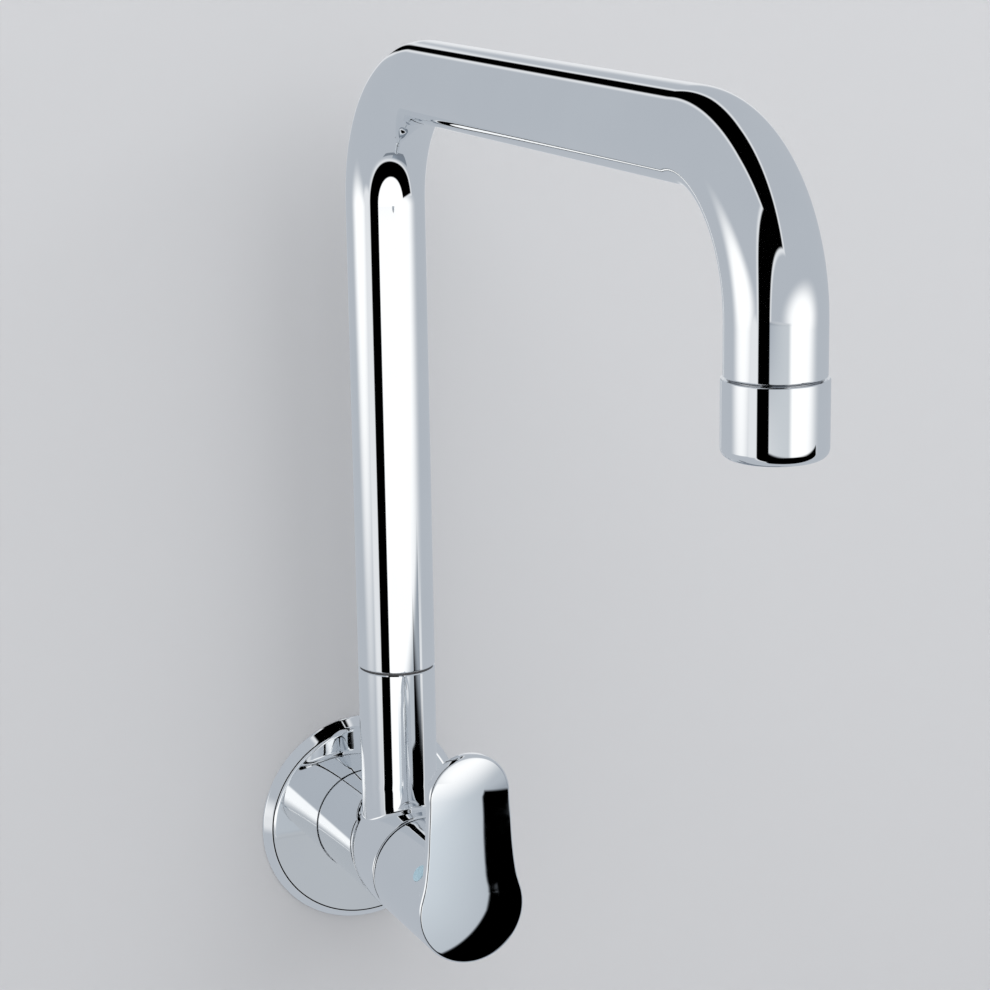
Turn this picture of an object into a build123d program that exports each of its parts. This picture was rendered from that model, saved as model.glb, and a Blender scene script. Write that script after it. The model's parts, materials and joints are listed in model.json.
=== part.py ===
from build123d import *
import os
from math import asin, cos, degrees, radians, sin, sqrt

# Wall tap with one cold inlet, a ceramic-disc valve turned by a lever, and a square swivel spout.
# Millimetres. Origin: centre of the cover flange's back face, on the barrel's axis.
# +Z is up, +Y points into the wall and the barrel runs out of the wall along -Y.
# "d" in a name or a comment is the distance out of the wall, so y = -d.

# ---- spout ----
tube_od = 25.0          # bent spout tube
tube_wall = 1.0
riser_d = 36.0          # riser's axis out of the wall
arm_z = 256.0           # arm's centre line above the barrel's axis
reach = 249.0           # riser's axis to outlet's axis
bend_radius = 40.0      # centre line of both bends
swivel_z = 64.0         # seam between the body and the turning spout
outlet_z = 203.0        # seam between the tube and the nozzle
nozzle_od = 26.2
nozzle_end_z = 183.5
nozzle_foot_r = 2.6     # rounding of the nozzle's two ends
nozzle_top_r = 0.3
outlet_gap = 0.5        # open width of the seam between the tube and the nozzle

# ---- barrel ----
barrel_r = 17.75        # sleeve, body and lever hub share one diameter
sleeve_wall = 1.2
sleeve_seam_d = 38.0    # sleeve's front edge where it crosses the axis height
sleeve_gap = 0.7        # open width of the seam in front of the sleeve
sleeve_lean = 0.432     # that edge leans back towards the wall by this much per mm of height
stub_notch_r = 14.4     # the sleeve is notched round the riser stub
stub_fillet = 1.2
stub_chamfer = 0.3
hub_seam_d = 55.7       # front face of the body
hub_gap = 0.9           # open width of the seam behind the lever hub
rim_round = 0.5         # rounding on both sides of that seam

# ---- wall flange ----
flange_r = 36.0
flange_face_r = 33.5
flange_depth = 4.2
flange_wall = 1.2
flange_rim = 0.9        # straight height of the rim, which the sleeve's rear end shares
cover_fit = 0.15        # radial room inside the sleeve and inside the flange's bore
flange_ring_r = 18.65
flange_ring_section = 1.5
flange_groove = (1.6, 3.3)

# ---- inlet ----
inlet_thread_r = 10.48  # G 1/2 outside thread, 20.96 across
inlet_thread_length = 19.0
inlet_bore_r = 6.5
tail_hex_af = 24.0
tail_hex_d = (1.6, 7.4)  # back and front of the hexagon
tail_spigot_r = 10.9
tail_end_d = 19.0
body_rear_d = 9.0

# ---- valve (headwork), stacked out from its seat ----
easy_gap = 0.05         # between stacked pieces
seat_d = 28.5
seat_hole_r = 5.5
valve_bore_r = 10.6
cage_r = 9.2
cage_bore_r = 7.8
disc_r = 7.6
disc_thickness = 2.8
driver_thickness = 4.4
tongue_width = 3.2
spindle_r = 5.0
spindle_clearance = 0.06
clip_d = 69.8
spline_start_d = 74.0
spindle_end_d = 89.5
spline_teeth = 20
spline_tip_r = 4.0
spline_root_r = 3.45
bonnet_hex_af = 22.0
stop_tab_angle = 225.0  # where the stop tab stands with the tap shut, seen from the front
quarter_turn = 90.0

# ---- lever ----
hub_cavity_r = 14.0
hub_floor_d = 72.0
bush_r = 6.2
bush_floor_d = 90.2
band_back_d = 93.0      # the lever's straight side band
band_front_d = 94.8
face_swell = 4.13       # radius of the lever's swollen face, as a multiple of its half width there
face_edge_r = 1.1       # rounding between the face and the side band
back_crown = 2.8
lever_top_z = 37.3      # centre of the lever's round tip
lever_tip_r = 13.6
# half widths of the lever's neck by height, from the round hub to the round tip
neck_widths = ((0.0, 17.75), (2.0, 17.63), (5.0, 17.0), (9.0, 15.9), (14.0, 15.1), (20.0, 14.5), (28.0, 14.05),
               (lever_top_z, lever_tip_r))
neck_steps = 20         # cross-sections that the neck's smooth surface is drawn through
plug_d = 86.1           # index plug and grub screw in the hub's upper left
plug_angle = 140.8
plug_r = 2.8
grub_r = 2.5

# ---- spout swivel inside the stub ----
stub_below_seam = 0.2   # the stub ends this far under the seam's middle, the tube starts further above it
tube_above_seam = 0.6
stub_bore_r = 10.1
stub_bore_floor_z = 32.0
riser_passage_r = 7.0
spigot_r = 10.0
spigot_end_z = 34.0
oring_section = 1.4
braze_gap = 0.06        # round the brass rings fixed in the tube's two ends
retainer_z = 44.0
retainer_r = 2.5
hex_key_af = 2.5        # socket of both grub screws
glide_ring_places = (38.0, 60.0)
spigot_oring_places = (50.0, 54.5)

os.makedirs("parts", exist_ok=True)


def turned_on_barrel(points):
    """Revolve an outline of (radius, d) points about the barrel's axis."""
    outline = Polyline([(r, -d) for r, d in points], close=True)
    return revolve(make_face(outline), axis=Axis.Y)


def turned_upright(points, d):
    """Revolve an outline of (radius, z) points about the upright axis that stands d out of the wall."""
    outline = Plane.XZ * Polyline(points, close=True)
    return Pos(0, -d, 0) * revolve(make_face(outline), axis=Axis.Z)


def barrel_rod(radius, d_from, d_to):
    """A plain round rod on the barrel's axis."""
    return turned_on_barrel([(0, d_from), (radius, d_from), (radius, d_to), (0, d_to)])


def upright_rod(radius, z_from, z_to, d):
    return turned_upright([(0, z_from), (radius, z_from), (radius, z_to), (0, z_to)], d)


def barrel_hex(across_flats, d_from, d_to):
    face = Plane((0, -d_from, 0), z_dir=(0, -1, 0)) * RegularPolygon(across_flats / 2, 6, major_radius=False)
    return extrude(face, d_to - d_from)


def ring_on_barrel(ring_r, section, d):
    """An O-ring round the barrel's axis."""
    return Plane((0, -d, 0), z_dir=(0, -1, 0)) * Torus(ring_r, section / 2)


def ring_upright(ring_r, section, z, d):
    return Pos(0, -d, z) * Torus(ring_r, section / 2)


def sector(radius, angle_from, angle_to, d_from, d_to):
    """A pie-shaped block round the barrel's axis. Angles run from +X towards +Z, seen from the front."""
    span = radians(angle_to - angle_from)
    steps = max(2, int((angle_to - angle_from) / 30) + 1)
    reach_out = radius / cos(span / steps / 2)
    corners = [(0.0, 0.0)]
    for i in range(steps + 1):
        a = radians(angle_from) + span * i / steps
        corners.append((reach_out * cos(a), reach_out * sin(a)))
    face = Plane((0, -d_from, 0), x_dir=(1, 0, 0), z_dir=(0, -1, 0)) * make_face(Polyline(corners, close=True))
    return extrude(face, d_to - d_from)


# ---------------------------------------------------------------- wall side

def wall_flange():
    """Pressed cover disc, hollow behind, with a turned-in collar that carries an O-ring."""
    collar_r = 21.9
    collar_back = 0.8
    bore_r = barrel_r + cover_fit
    inside = flange_depth - flange_wall
    shell = turned_on_barrel([
        (flange_r, 0), (flange_r, flange_rim), (flange_face_r + 0.3, flange_depth - 0.5),
        (flange_face_r, flange_depth), (bore_r, flange_depth), (bore_r, collar_back), (collar_r, collar_back),
        (collar_r, inside), (flange_face_r - flange_wall, inside), (flange_r - flange_wall, flange_rim),
        (flange_r - flange_wall, 0)])
    floor_r = flange_ring_r + flange_ring_section / 2 + 0.2
    back, front = flange_groove
    groove = turned_on_barrel([(bore_r - 1, back), (floor_r, back), (floor_r, front), (bore_r - 1, front)])
    return shell - groove


def flange_oring():
    return ring_on_barrel(flange_ring_r, flange_ring_section, sum(flange_groove) / 2)


def sleeve_front_cut(offset):
    """Everything in front of the sleeve's leaning, notched front edge, moved out of the wall by offset."""
    size = 200.0
    lean = Plane((0, -(sleeve_seam_d + offset), 0), x_dir=(1, 0, 0), z_dir=(0, -1, sleeve_lean))
    ahead = extrude(lean * Rectangle(size, size), size)
    return ahead + upright_rod(stub_notch_r - offset, 0, swivel_z + 10, riser_d)


def barrel_sleeve():
    """Thin cover tube over the rear of the body, from inside the flange to the leaning seam."""
    inner_r = barrel_r - sleeve_wall
    tube = turned_on_barrel([(inner_r, flange_rim), (barrel_r, flange_rim), (barrel_r, hub_seam_d),
                             (inner_r, hub_seam_d)])
    return tube - sleeve_front_cut(0)


def inlet_tail():
    """Threaded brass tail: G 1/2 into the wall, a hexagon to turn it by, and a spigot into the body."""
    end = -inlet_thread_length
    runout_r, collar_r, waist_r = 9.6, 11.0, 10.2
    hex_back, hex_front = tail_hex_d
    turned = turned_on_barrel([
        (inlet_bore_r, end), (inlet_thread_r - 1, end), (inlet_thread_r, end + 1), (inlet_thread_r, 0),
        (runout_r, 0.2), (runout_r, hex_back), (collar_r, hex_back), (collar_r, hex_front), (waist_r, hex_front),
        (waist_r, body_rear_d), (tail_spigot_r, body_rear_d + 0.4), (tail_spigot_r, tail_end_d),
        (inlet_bore_r, tail_end_d)])
    corner_r = 13.4
    hexagon = barrel_hex(tail_hex_af, hex_back, hex_front) & barrel_rod(corner_r, hex_back, hex_front)
    return turned + (hexagon - barrel_rod(inlet_bore_r, 0, tail_end_d))


def inlet_tail_washer():
    inner, outer = 10.6, 13.3
    back, front = tail_hex_d[1] + easy_gap, body_rear_d - easy_gap
    return turned_on_barrel([(inner, back), (outer, back), (outer, front), (inner, front)])


# ---------------------------------------------------------------- body

def tap_body():
    """Cast and turned body: rear barrel, front barrel, riser stub, valve chamber and waterways."""
    rear_r = barrel_r - sleeve_wall - cover_fit
    rear = barrel_rod(rear_r, body_rear_d, sleeve_seam_d + 10)
    front = barrel_rod(barrel_r, tail_end_d - 1, hub_seam_d)
    front = fillet(front.edges().filter_by(GeomType.CIRCLE).sort_by(Axis.Y)[0], rim_round)
    stub_top = swivel_z - stub_below_seam
    stub = upright_rod(tube_od / 2, 0, stub_top, riser_d)
    solid = front + stub
    solid = fillet(stub_base_edges(solid), stub_fillet)
    solid = rear + (solid & sleeve_front_cut(sleeve_gap))
    solid = chamfer(solid.edges().filter_by(GeomType.CIRCLE).sort_by(Axis.Z)[-1], stub_chamfer)
    return solid - body_waterways(stub_top)


def stub_base_edges(solid):
    """The edges where the upright stub meets the front barrel."""
    found = []
    for edge in solid.edges():
        box = edge.bounding_box()
        on_stub = all(abs(sqrt(p.X ** 2 + (p.Y + riser_d) ** 2) - tube_od / 2) < 0.05
                      for p in (edge @ 0.1, edge @ 0.5, edge @ 0.9))
        if on_stub and 9 < box.max.Z < barrel_r + 1 and box.min.Z > 9:
            found.append(edge)
    return found


def body_waterways(stub_top):
    """All the holes in the body, as one solid to take away."""
    step_d = tail_end_d + 0.5
    inlet = barrel_rod(tail_spigot_r + 0.1, body_rear_d, step_d) + barrel_rod(seat_hole_r, tail_end_d, seat_d + 1)
    chamber = barrel_rod(valve_bore_r, seat_d, hub_seam_d)
    seal_seat = barrel_rod(seal_seat_r, thread_front_d, hub_seam_d + 1)
    passage = upright_rod(riser_passage_r, 4, stub_bore_floor_z + 1, riser_d)
    socket = upright_rod(stub_bore_r, stub_bore_floor_z, stub_top + 1, riser_d)
    screw_hole = Pos(0, -riser_d + 12, retainer_z) * Rot(90, 0, 0) * Cylinder(retainer_r + easy_gap, 8)
    return inlet + chamber + seal_seat + passage + socket + screw_hole


def spout_retaining_screw():
    """Grub screw in the back of the stub; its tip runs in the spigot's groove."""
    outer = tube_od / 2 - 0.4
    tip, tip_r = 8.8, 1.6
    turned = turned_upright([(0, tip), (tip_r, tip), (tip_r, tip + 1), (retainer_r, tip + 1.6),
                             (retainer_r, outer), (0, outer)], 0)
    socket = Pos(0, 0, outer) * extrude(RegularPolygon(hex_key_af / 2, 6, major_radius=False), -1.8)
    return Pos(0, -riser_d, retainer_z) * Rot(-90, 0, 0) * (turned - socket)


# ---------------------------------------------------------------- valve

fixed_disc_d = seat_d + 3.0
moving_disc_d = fixed_disc_d + disc_thickness + easy_gap
driver_d = moving_disc_d + disc_thickness + easy_gap
washer_d = driver_d + driver_thickness + easy_gap
washer_thickness = 0.8
bush_shoulder_d = washer_d + washer_thickness + easy_gap
thread_front_d = hub_seam_d - 1.0   # front of the body's thread, where the seal's seat begins
collar_d = hub_seam_d + 0.9
seal_seat_r = 12.6


def headwork_bush():
    """Brass valve housing: slotted cage, thread, sealing collar, hexagon and spindle neck."""
    bore = spindle_r + spindle_clearance
    cage_end, thread_start, neck_start = seat_d + 1.4, 45.0, 64.6
    thread_r, groove_r, collar_r, hex_inner_r, neck_r = 10.4, 9.8, 13.2, 10.9, 7.6
    hex_start, hex_end = collar_d + 1.6, 63.6
    neck_end = clip_d - 0.15
    turned = turned_on_barrel([
        (cage_bore_r, cage_end), (cage_r, cage_end), (cage_r, thread_start), (thread_r, thread_start + 1),
        (thread_r, thread_front_d), (groove_r, thread_front_d), (groove_r, collar_d), (collar_r, collar_d),
        (collar_r, hex_start), (hex_inner_r, hex_start), (hex_inner_r, neck_start - 0.7), (neck_r, neck_start),
        (neck_r, neck_end), (bore, neck_end), (bore, bush_shoulder_d), (cage_bore_r, bush_shoulder_d)])
    hexagon = barrel_hex(bonnet_hex_af, hex_start, hex_end) & barrel_rod(12.2, hex_start, hex_end)
    return turned + (hexagon - barrel_rod(bore, hex_start, hex_end)) - cage_windows()


def cage_windows():
    """Lower window with room for the stop tab's quarter turn, and a like one facing the riser."""
    window_back = driver_d + 0.2
    window_front = washer_d - 0.3
    margin = 14.0
    low = sector(14, stop_tab_angle - margin, stop_tab_angle + quarter_turn + margin, window_back, window_front)
    high = sector(14, 45 - margin, 135 + margin, window_back, window_front)
    return low + high


def headwork_oring():
    return ring_on_barrel(11.5, 1.7, hub_seam_d - 0.05)


def seat_seal():
    """Rubber sleeve that presses the discs together and seals on the body's seat."""
    way_r, foot_r, side_r = 5.6, 7.0, cage_bore_r - easy_gap
    back, front = seat_d + easy_gap, fixed_disc_d - easy_gap
    return turned_on_barrel([(way_r, back), (foot_r, back), (side_r, seat_d + 1.3), (side_r, front), (way_r, front)])


def disc_ports(angle, d_from, d_to):
    """Two opposite pie-shaped ports with a solid middle."""
    outer_r, middle_r, half_port = 6.3, 2.0, 40
    ports = sector(outer_r, angle - half_port, angle + half_port, d_from, d_to)
    ports += sector(outer_r, angle + 180 - half_port, angle + 180 + half_port, d_from, d_to)
    return ports & (barrel_rod(outer_r, d_from, d_to) - barrel_rod(middle_r, d_from, d_to))


def fixed_disc():
    disc = barrel_rod(disc_r, fixed_disc_d, fixed_disc_d + disc_thickness)
    return disc - disc_ports(0, fixed_disc_d, fixed_disc_d + disc_thickness)


def rotating_disc():
    """Shut at rest: its ports stand a quarter turn from the fixed ones, and a slot takes the driver."""
    front = moving_disc_d + disc_thickness
    disc = barrel_rod(disc_r - 0.1, moving_disc_d, front) - disc_ports(90, moving_disc_d, front)
    slot_depth, slot_width = 1.3, tongue_width + 0.2
    return disc - Pos(0, -front, 0) * Box(3 * disc_r, 2 * slot_depth, slot_width)


def spline_outline(tip_r, root_r):
    """A closed outline of equal teeth, tip and root by turns."""
    corners = []
    for i in range(spline_teeth):
        for r, part in ((root_r, -0.32), (tip_r, -0.14), (tip_r, 0.14), (root_r, 0.32)):
            a = radians((i + part) * 360 / spline_teeth)
            corners.append((r * cos(a), r * sin(a)))
    return make_face(Polyline(corners, close=True))


def spline_rod(tip_r, root_r, d_from, d_to):
    face = Plane((0, -d_from, 0), x_dir=(1, 0, 0), z_dir=(0, -1, 0)) * spline_outline(tip_r, root_r)
    return extrude(face, d_to - d_from)


def spindle():
    """Driver with its tongue and stop tab, shaft with two O-ring grooves and a clip groove, splined end."""
    shaft_start = driver_d + driver_thickness
    groove = oring_section - 0.1
    points = [(0, driver_d), (7.5, driver_d), (7.5, shaft_start), (spindle_r, shaft_start)]
    for d in spindle_oring_places:
        points += [(spindle_r, d - 0.9), (spindle_r - groove, d - 0.9),
                   (spindle_r - groove, d + 0.9), (spindle_r, d + 0.9)]
    points += [(spindle_r, clip_d), (4.1, clip_d), (4.1, clip_d + 1.0), (spindle_r, clip_d + 1.0),
               (spindle_r, spline_start_d - 1), (spline_root_r, spline_start_d), (0, spline_start_d)]
    turned = turned_on_barrel(points)
    flow_slots = sector(9, -38, 38, driver_d, shaft_start) + sector(9, 142, 218, driver_d, shaft_start)
    flow_slots = flow_slots - barrel_rod(3.6, driver_d, shaft_start)
    tongue = Pos(0, -(driver_d - 0.5), 0) * Box(13.6, 1.2, tongue_width)
    tongue = tongue & barrel_rod(7.0, driver_d - 1.1, driver_d + 1)
    tab = sector(8.9, stop_tab_angle - 11, stop_tab_angle + 11, driver_d + 0.5, shaft_start - 0.5)
    tab = tab & (barrel_rod(8.9, driver_d, shaft_start) - barrel_rod(5, driver_d, shaft_start))
    splines = spline_rod(spline_tip_r, spline_root_r, spline_start_d - 0.3, spindle_end_d)
    return (turned - flow_slots) + tongue + tab + splines


spindle_oring_places = (48.0, 53.0)


def spindle_oring(d):
    return ring_on_barrel(spindle_r - 0.63, oring_section - 0.1, d)


def spindle_glide_washer():
    inner, outer, front = 5.15, 7.5, washer_d + washer_thickness
    return turned_on_barrel([(inner, washer_d), (outer, washer_d), (outer, front), (inner, front)])


def spindle_clip():
    """Open spring clip that keeps the spindle from being pushed in."""
    inner, outer, back, front, mouth = 4.15, 6.9, clip_d + 0.1, clip_d + 0.9, 4.6
    ring = turned_on_barrel([(inner, back), (outer, back), (outer, front), (inner, front)])
    return ring - Pos(0, -(back + front) / 2, 6) * Box(mouth, 3, 12)


# ---------------------------------------------------------------- lever

def face_arcs(half_width):
    """The swollen face from its right edge to its middle: a small arc off the side band, then a wide one.
    The wide arc's centre lies on the lever's middle so that both arcs share a tangent."""
    wide_r = face_swell * half_width
    across = half_width - face_edge_r
    centre_y = -band_front_d + sqrt((wide_r - face_edge_r) ** 2 - across ** 2)
    lean = degrees(asin(across / (wide_r - face_edge_r)))
    small = CenterArc((across, -band_front_d), face_edge_r, 0, lean - 90)
    wide = CenterArc((0, centre_y), wide_r, -90 + lean, -lean)
    return small, wide, centre_y - wide_r


def lens_section(half_width, z):
    """The lever's cross-section at a height: side band, swollen face, gently swollen back."""
    small, wide, _ = face_arcs(half_width)
    half = Curve() + [Line((half_width, -band_back_d), (half_width, -band_front_d)), small, wide]
    back = EllipticalCenterArc((0, -band_back_d), half_width, back_crown, 0, arc_size=180)
    return Pos(0, 0, z) * make_face(half + mirror(half, Plane.YZ) + back)


def half_lens(half_width, z, with_back):
    """Half of the turned round end: the same section, revolved half a turn about its own axis."""
    small, wide, apex_y = face_arcs(half_width)
    pieces = [Line((half_width, -band_back_d), (half_width, -band_front_d)), small, wide]
    if with_back:
        pieces.append(Line((0, apex_y), (0, -band_back_d + back_crown)))
        pieces.append(EllipticalCenterArc((0, -band_back_d), half_width, back_crown, 0, arc_size=90))
    else:
        pieces.append(Line((0, apex_y), (0, -band_back_d)))
        pieces.append(Line((0, -band_back_d), (half_width, -band_back_d)))
    turn = -180 if with_back else 180
    return Pos(0, 0, z) * revolve(make_face(Curve() + pieces), axis=Axis.Y, revolution_arc=turn)


def neck_width(z):
    """Half width at a height: cubic pieces through neck_widths, level at both ends to meet the round ends."""
    slopes = [0.0]
    for (z0, w0), (z1, w1), (z2, w2) in zip(neck_widths, neck_widths[1:], neck_widths[2:]):
        slopes.append(((w1 - w0) / (z1 - z0) * (z2 - z1) + (w2 - w1) / (z2 - z1) * (z1 - z0)) / (z2 - z0))
    slopes.append(0.0)
    k = max(i for i in range(len(neck_widths) - 1) if neck_widths[i][0] <= z)
    (z0, w0), (z1, w1) = neck_widths[k], neck_widths[k + 1]
    t, span = (z - z0) / (z1 - z0), z1 - z0
    return (w0 * (1 + 2 * t) * (1 - t) ** 2 + slopes[k] * span * t * (1 - t) ** 2
            + w1 * t ** 2 * (3 - 2 * t) + slopes[k + 1] * span * t ** 2 * (t - 1))


def lever_neck():
    heights = [lever_top_z * i / neck_steps for i in range(neck_steps + 1)]
    return loft([lens_section(neck_width(z), z) for z in heights])


def handle_lever():
    """One casting: round hub with a stepped cavity, and a drop-shaped lever with a swollen face."""
    back = hub_seam_d + hub_gap
    hub = barrel_rod(barrel_r, back, band_back_d)
    hub = fillet(hub.edges().filter_by(GeomType.CIRCLE).sort_by(Axis.Y)[-1], rim_round)
    solid = hub + half_lens(barrel_r, 0, False) + lever_neck() + half_lens(lever_tip_r, lever_top_z, True)
    cavity = barrel_rod(hub_cavity_r, back, hub_floor_d) + barrel_rod(bush_r, hub_floor_d - 1, bush_floor_d)
    return solid - cavity - plug_bore()


def along_plug_axis(solid):
    """Put a solid built along +Z from the barrel's axis on the plug's slanting axis."""
    lean = Plane((0, -plug_d, 0), x_dir=(0, 1, 0),
                 z_dir=(cos(radians(plug_angle)), 0, sin(radians(plug_angle))))
    return lean * solid


def plug_bore():
    grub = Pos(0, 0, 10) * Cylinder(grub_r + easy_gap, 12)
    plug = Pos(0, 0, 17) * Cylinder(plug_r + easy_gap, 7)
    return along_plug_axis(grub + plug)


def handle_grub_screw():
    tip, end = 4.15, 12.4
    body = turned_upright([(0, tip), (1.2, tip), (grub_r, tip + 1.25), (grub_r, end), (0, end)], 0)
    socket = Pos(0, 0, end) * extrude(RegularPolygon(hex_key_af / 2, 6, major_radius=False), -2.5)
    return along_plug_axis(body - socket)


def index_plug():
    """Small blue cap, its face shaped to the hub."""
    cap = along_plug_axis(Pos(0, 0, 16) * Cylinder(plug_r, 4.8))
    return cap & barrel_rod(barrel_r + 0.1, 70, 92)


def spline_bush():
    """Plastic bush between the hub's bore and the spindle's splines."""
    fit = 0.06
    body = barrel_rod(bush_r - easy_gap, spline_start_d + 0.4, bush_floor_d - 0.1)
    body = body - spline_rod(spline_tip_r + fit, spline_root_r + fit, spline_start_d, spindle_end_d + 0.2)
    hole = along_plug_axis(Pos(0, 0, 6) * Cylinder(grub_r + easy_gap, 8))
    return body - hole


# ---------------------------------------------------------------- spout

def spout_tube():
    """Round tube swept along the riser, the level arm and the drop."""
    start, end = swivel_z + tube_above_seam, outlet_z + outlet_gap / 2
    path = FilletPolyline((0, -riser_d, start), (0, -riser_d, arm_z), (0, -riser_d - reach, arm_z),
                          (0, -riser_d - reach, end), radius=bend_radius)
    ring = Circle(tube_od / 2) - Circle(tube_od / 2 - tube_wall)
    return sweep(Plane((0, -riser_d, start)) * ring, path=path)


def swivel_thrust_washer():
    inner, outer = stub_bore_r + easy_gap, 11.9
    low, high = swivel_z - stub_below_seam + easy_gap, swivel_z + tube_above_seam - easy_gap
    return turned_upright([(inner, low), (outer, low), (outer, high), (inner, high)], riser_d)


def swivel_spigot():
    """Brass plug fixed in the tube's foot; its spigot turns in the stub."""
    plug_outer = tube_od / 2 - tube_wall - braze_gap
    shoulder = swivel_z + tube_above_seam
    grooves = [(z, 1.5, 1.0) for z in glide_ring_places] + [(z, 0.9, 1.5) for z in spigot_oring_places]
    grooves.append((retainer_z, 2.2, 1.7))
    points = [(riser_passage_r, spigot_end_z), (spigot_r - 0.6, spigot_end_z), (spigot_r, spigot_end_z + 0.6)]
    for z, half, depth in sorted(grooves):
        points += [(spigot_r, z - half), (spigot_r - depth, z - half),
                   (spigot_r - depth, z + half), (spigot_r, z + half)]
    points += [(spigot_r, shoulder), (plug_outer, shoulder), (plug_outer, shoulder + 16),
               (riser_passage_r + 1.5, shoulder + 16), (riser_passage_r, shoulder + 14)]
    return turned_upright(points, riser_d)


def swivel_oring(z):
    return ring_upright(spigot_r - 0.76, oring_section, z, riser_d)


def swivel_glide_ring(z):
    """Split plastic ring that centres the spigot in the stub."""
    inner, outer, half, split = spigot_r - 0.95, spigot_r + 0.04, 1.4, 0.8
    ring = turned_upright([(inner, z - half), (outer, z - half), (outer, z + half), (inner, z + half)], riser_d)
    return ring - Pos(0, -riser_d - 9.5, z) * Rot(0, 35, 0) * Box(split, 4, 8)


# ---------------------------------------------------------------- nozzle

nozzle_thread_r = 10.9
insert_way_r = 8.5
insert_low_z = 193.6
insert_seat_z = 190.5    # ledge in the nozzle that carries the washer
insert_lip_z = 186.4     # ledge that carries the flow straightener
nozzle_mouth_r = 9.6


def outlet_insert():
    """Brass ring fixed in the tube's end, with the thread that the nozzle screws on."""
    top = outlet_z + 13
    plug_outer = tube_od / 2 - tube_wall - braze_gap
    shoulder = outlet_z + outlet_gap / 2
    return turned_upright([(insert_way_r, insert_low_z), (nozzle_thread_r - 0.5, insert_low_z),
                           (nozzle_thread_r, insert_low_z + 0.5), (nozzle_thread_r, shoulder),
                           (plug_outer, shoulder), (plug_outer, top), (insert_way_r, top)], riser_d + reach)


def aerator_housing():
    """Screwed cup round the tube's end, rounded at its foot."""
    outer = nozzle_od / 2
    top = outlet_z - outlet_gap / 2
    thread_r, inside_r = nozzle_thread_r + 0.1, 10.6
    cup = turned_upright([(nozzle_mouth_r, nozzle_end_z), (outer, nozzle_end_z), (outer, top), (thread_r, top),
                          (thread_r, insert_seat_z), (inside_r, insert_seat_z), (inside_r, insert_lip_z),
                          (nozzle_mouth_r, insert_lip_z)], riser_d + reach)
    rims = cup.edges().filter_by(GeomType.CIRCLE).filter_by(lambda e: abs(e.radius - outer) < 0.01)
    rims = rims.sort_by(Axis.Z)
    cup = fillet(rims[0], nozzle_foot_r)
    top_rim = cup.edges().filter_by(GeomType.CIRCLE).filter_by(lambda e: abs(e.radius - outer) < 0.01)
    return fillet(top_rim.sort_by(Axis.Z)[-1], nozzle_top_r)


def aerator_washer():
    inner, outer, low, high = 8.6, 10.8, insert_seat_z + 0.25, insert_low_z - 0.1
    return turned_upright([(inner, low), (outer, low), (outer, high), (inner, high)], riser_d + reach)


def aerator_insert():
    """Flow straightener: a disc of round ways in rings of six and twelve."""
    low, high = insert_lip_z + easy_gap, insert_seat_z + 0.2
    disc = upright_rod(10.45, low, high, riser_d + reach)
    hole_r, rings = 1.35, ((1, 0.0), (6, 3.8), (12, 7.4))
    for count, ring_r in rings:
        for i in range(count):
            a = radians(360 * i / count)
            disc -= Pos(ring_r * cos(a), -riser_d - reach + ring_r * sin(a), (low + high) / 2) \
                * Cylinder(hole_r, high - low + 1)
    return disc


def aerator_screen():
    low, thickness = insert_seat_z + 0.3, 0.4
    return upright_rod(8.45, low, low + thickness, riser_d + reach)


nodes = {
    "wall_flange": wall_flange(),
    "flange_oring": flange_oring(),
    "barrel_sleeve": barrel_sleeve(),
    "inlet_tail": inlet_tail(),
    "inlet_tail_washer": inlet_tail_washer(),
    "tap_body": tap_body(),
    "spout_retaining_screw": spout_retaining_screw(),
    "headwork_bush": headwork_bush(),
    "headwork_oring": headwork_oring(),
    "seat_seal": seat_seal(),
    "fixed_disc": fixed_disc(),
    "rotating_disc": rotating_disc(),
    "spindle": spindle(),
    "spindle_oring_inner": spindle_oring(spindle_oring_places[0]),
    "spindle_oring_outer": spindle_oring(spindle_oring_places[1]),
    "spindle_glide_washer": spindle_glide_washer(),
    "spindle_clip": spindle_clip(),
    "handle_lever": handle_lever(),
    "spline_bush": spline_bush(),
    "handle_grub_screw": handle_grub_screw(),
    "index_plug": index_plug(),
    "spout_tube": spout_tube(),
    "swivel_thrust_washer": swivel_thrust_washer(),
    "swivel_spigot": swivel_spigot(),
    "swivel_oring_lower": swivel_oring(spigot_oring_places[0]),
    "swivel_oring_upper": swivel_oring(spigot_oring_places[1]),
    "swivel_glide_ring_lower": swivel_glide_ring(glide_ring_places[0]),
    "swivel_glide_ring_upper": swivel_glide_ring(glide_ring_places[1]),
    "outlet_insert": outlet_insert(),
    "aerator_housing": aerator_housing(),
    "aerator_washer": aerator_washer(),
    "aerator_insert": aerator_insert(),
    "aerator_screen": aerator_screen(),
}

for name, shape in nodes.items():
    export_step(shape, f"parts/{name}.step")
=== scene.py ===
import bpy
import bmesh
import json
import numpy as np
from math import cos, pi, radians, sin
from mathutils import Matrix, Vector


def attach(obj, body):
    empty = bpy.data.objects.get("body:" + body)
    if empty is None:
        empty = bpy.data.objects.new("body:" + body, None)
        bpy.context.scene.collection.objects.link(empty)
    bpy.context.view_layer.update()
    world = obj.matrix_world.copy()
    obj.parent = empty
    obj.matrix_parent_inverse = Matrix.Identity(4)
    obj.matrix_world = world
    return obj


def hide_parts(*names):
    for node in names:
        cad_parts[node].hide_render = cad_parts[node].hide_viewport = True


# Wall sink tap with a square swivel spout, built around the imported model. The scene is in metres with +Z up,
# and the wall is the plane y = 0. Sizes are in mm, and "out" is the distance out of the wall: y = -out.

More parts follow.
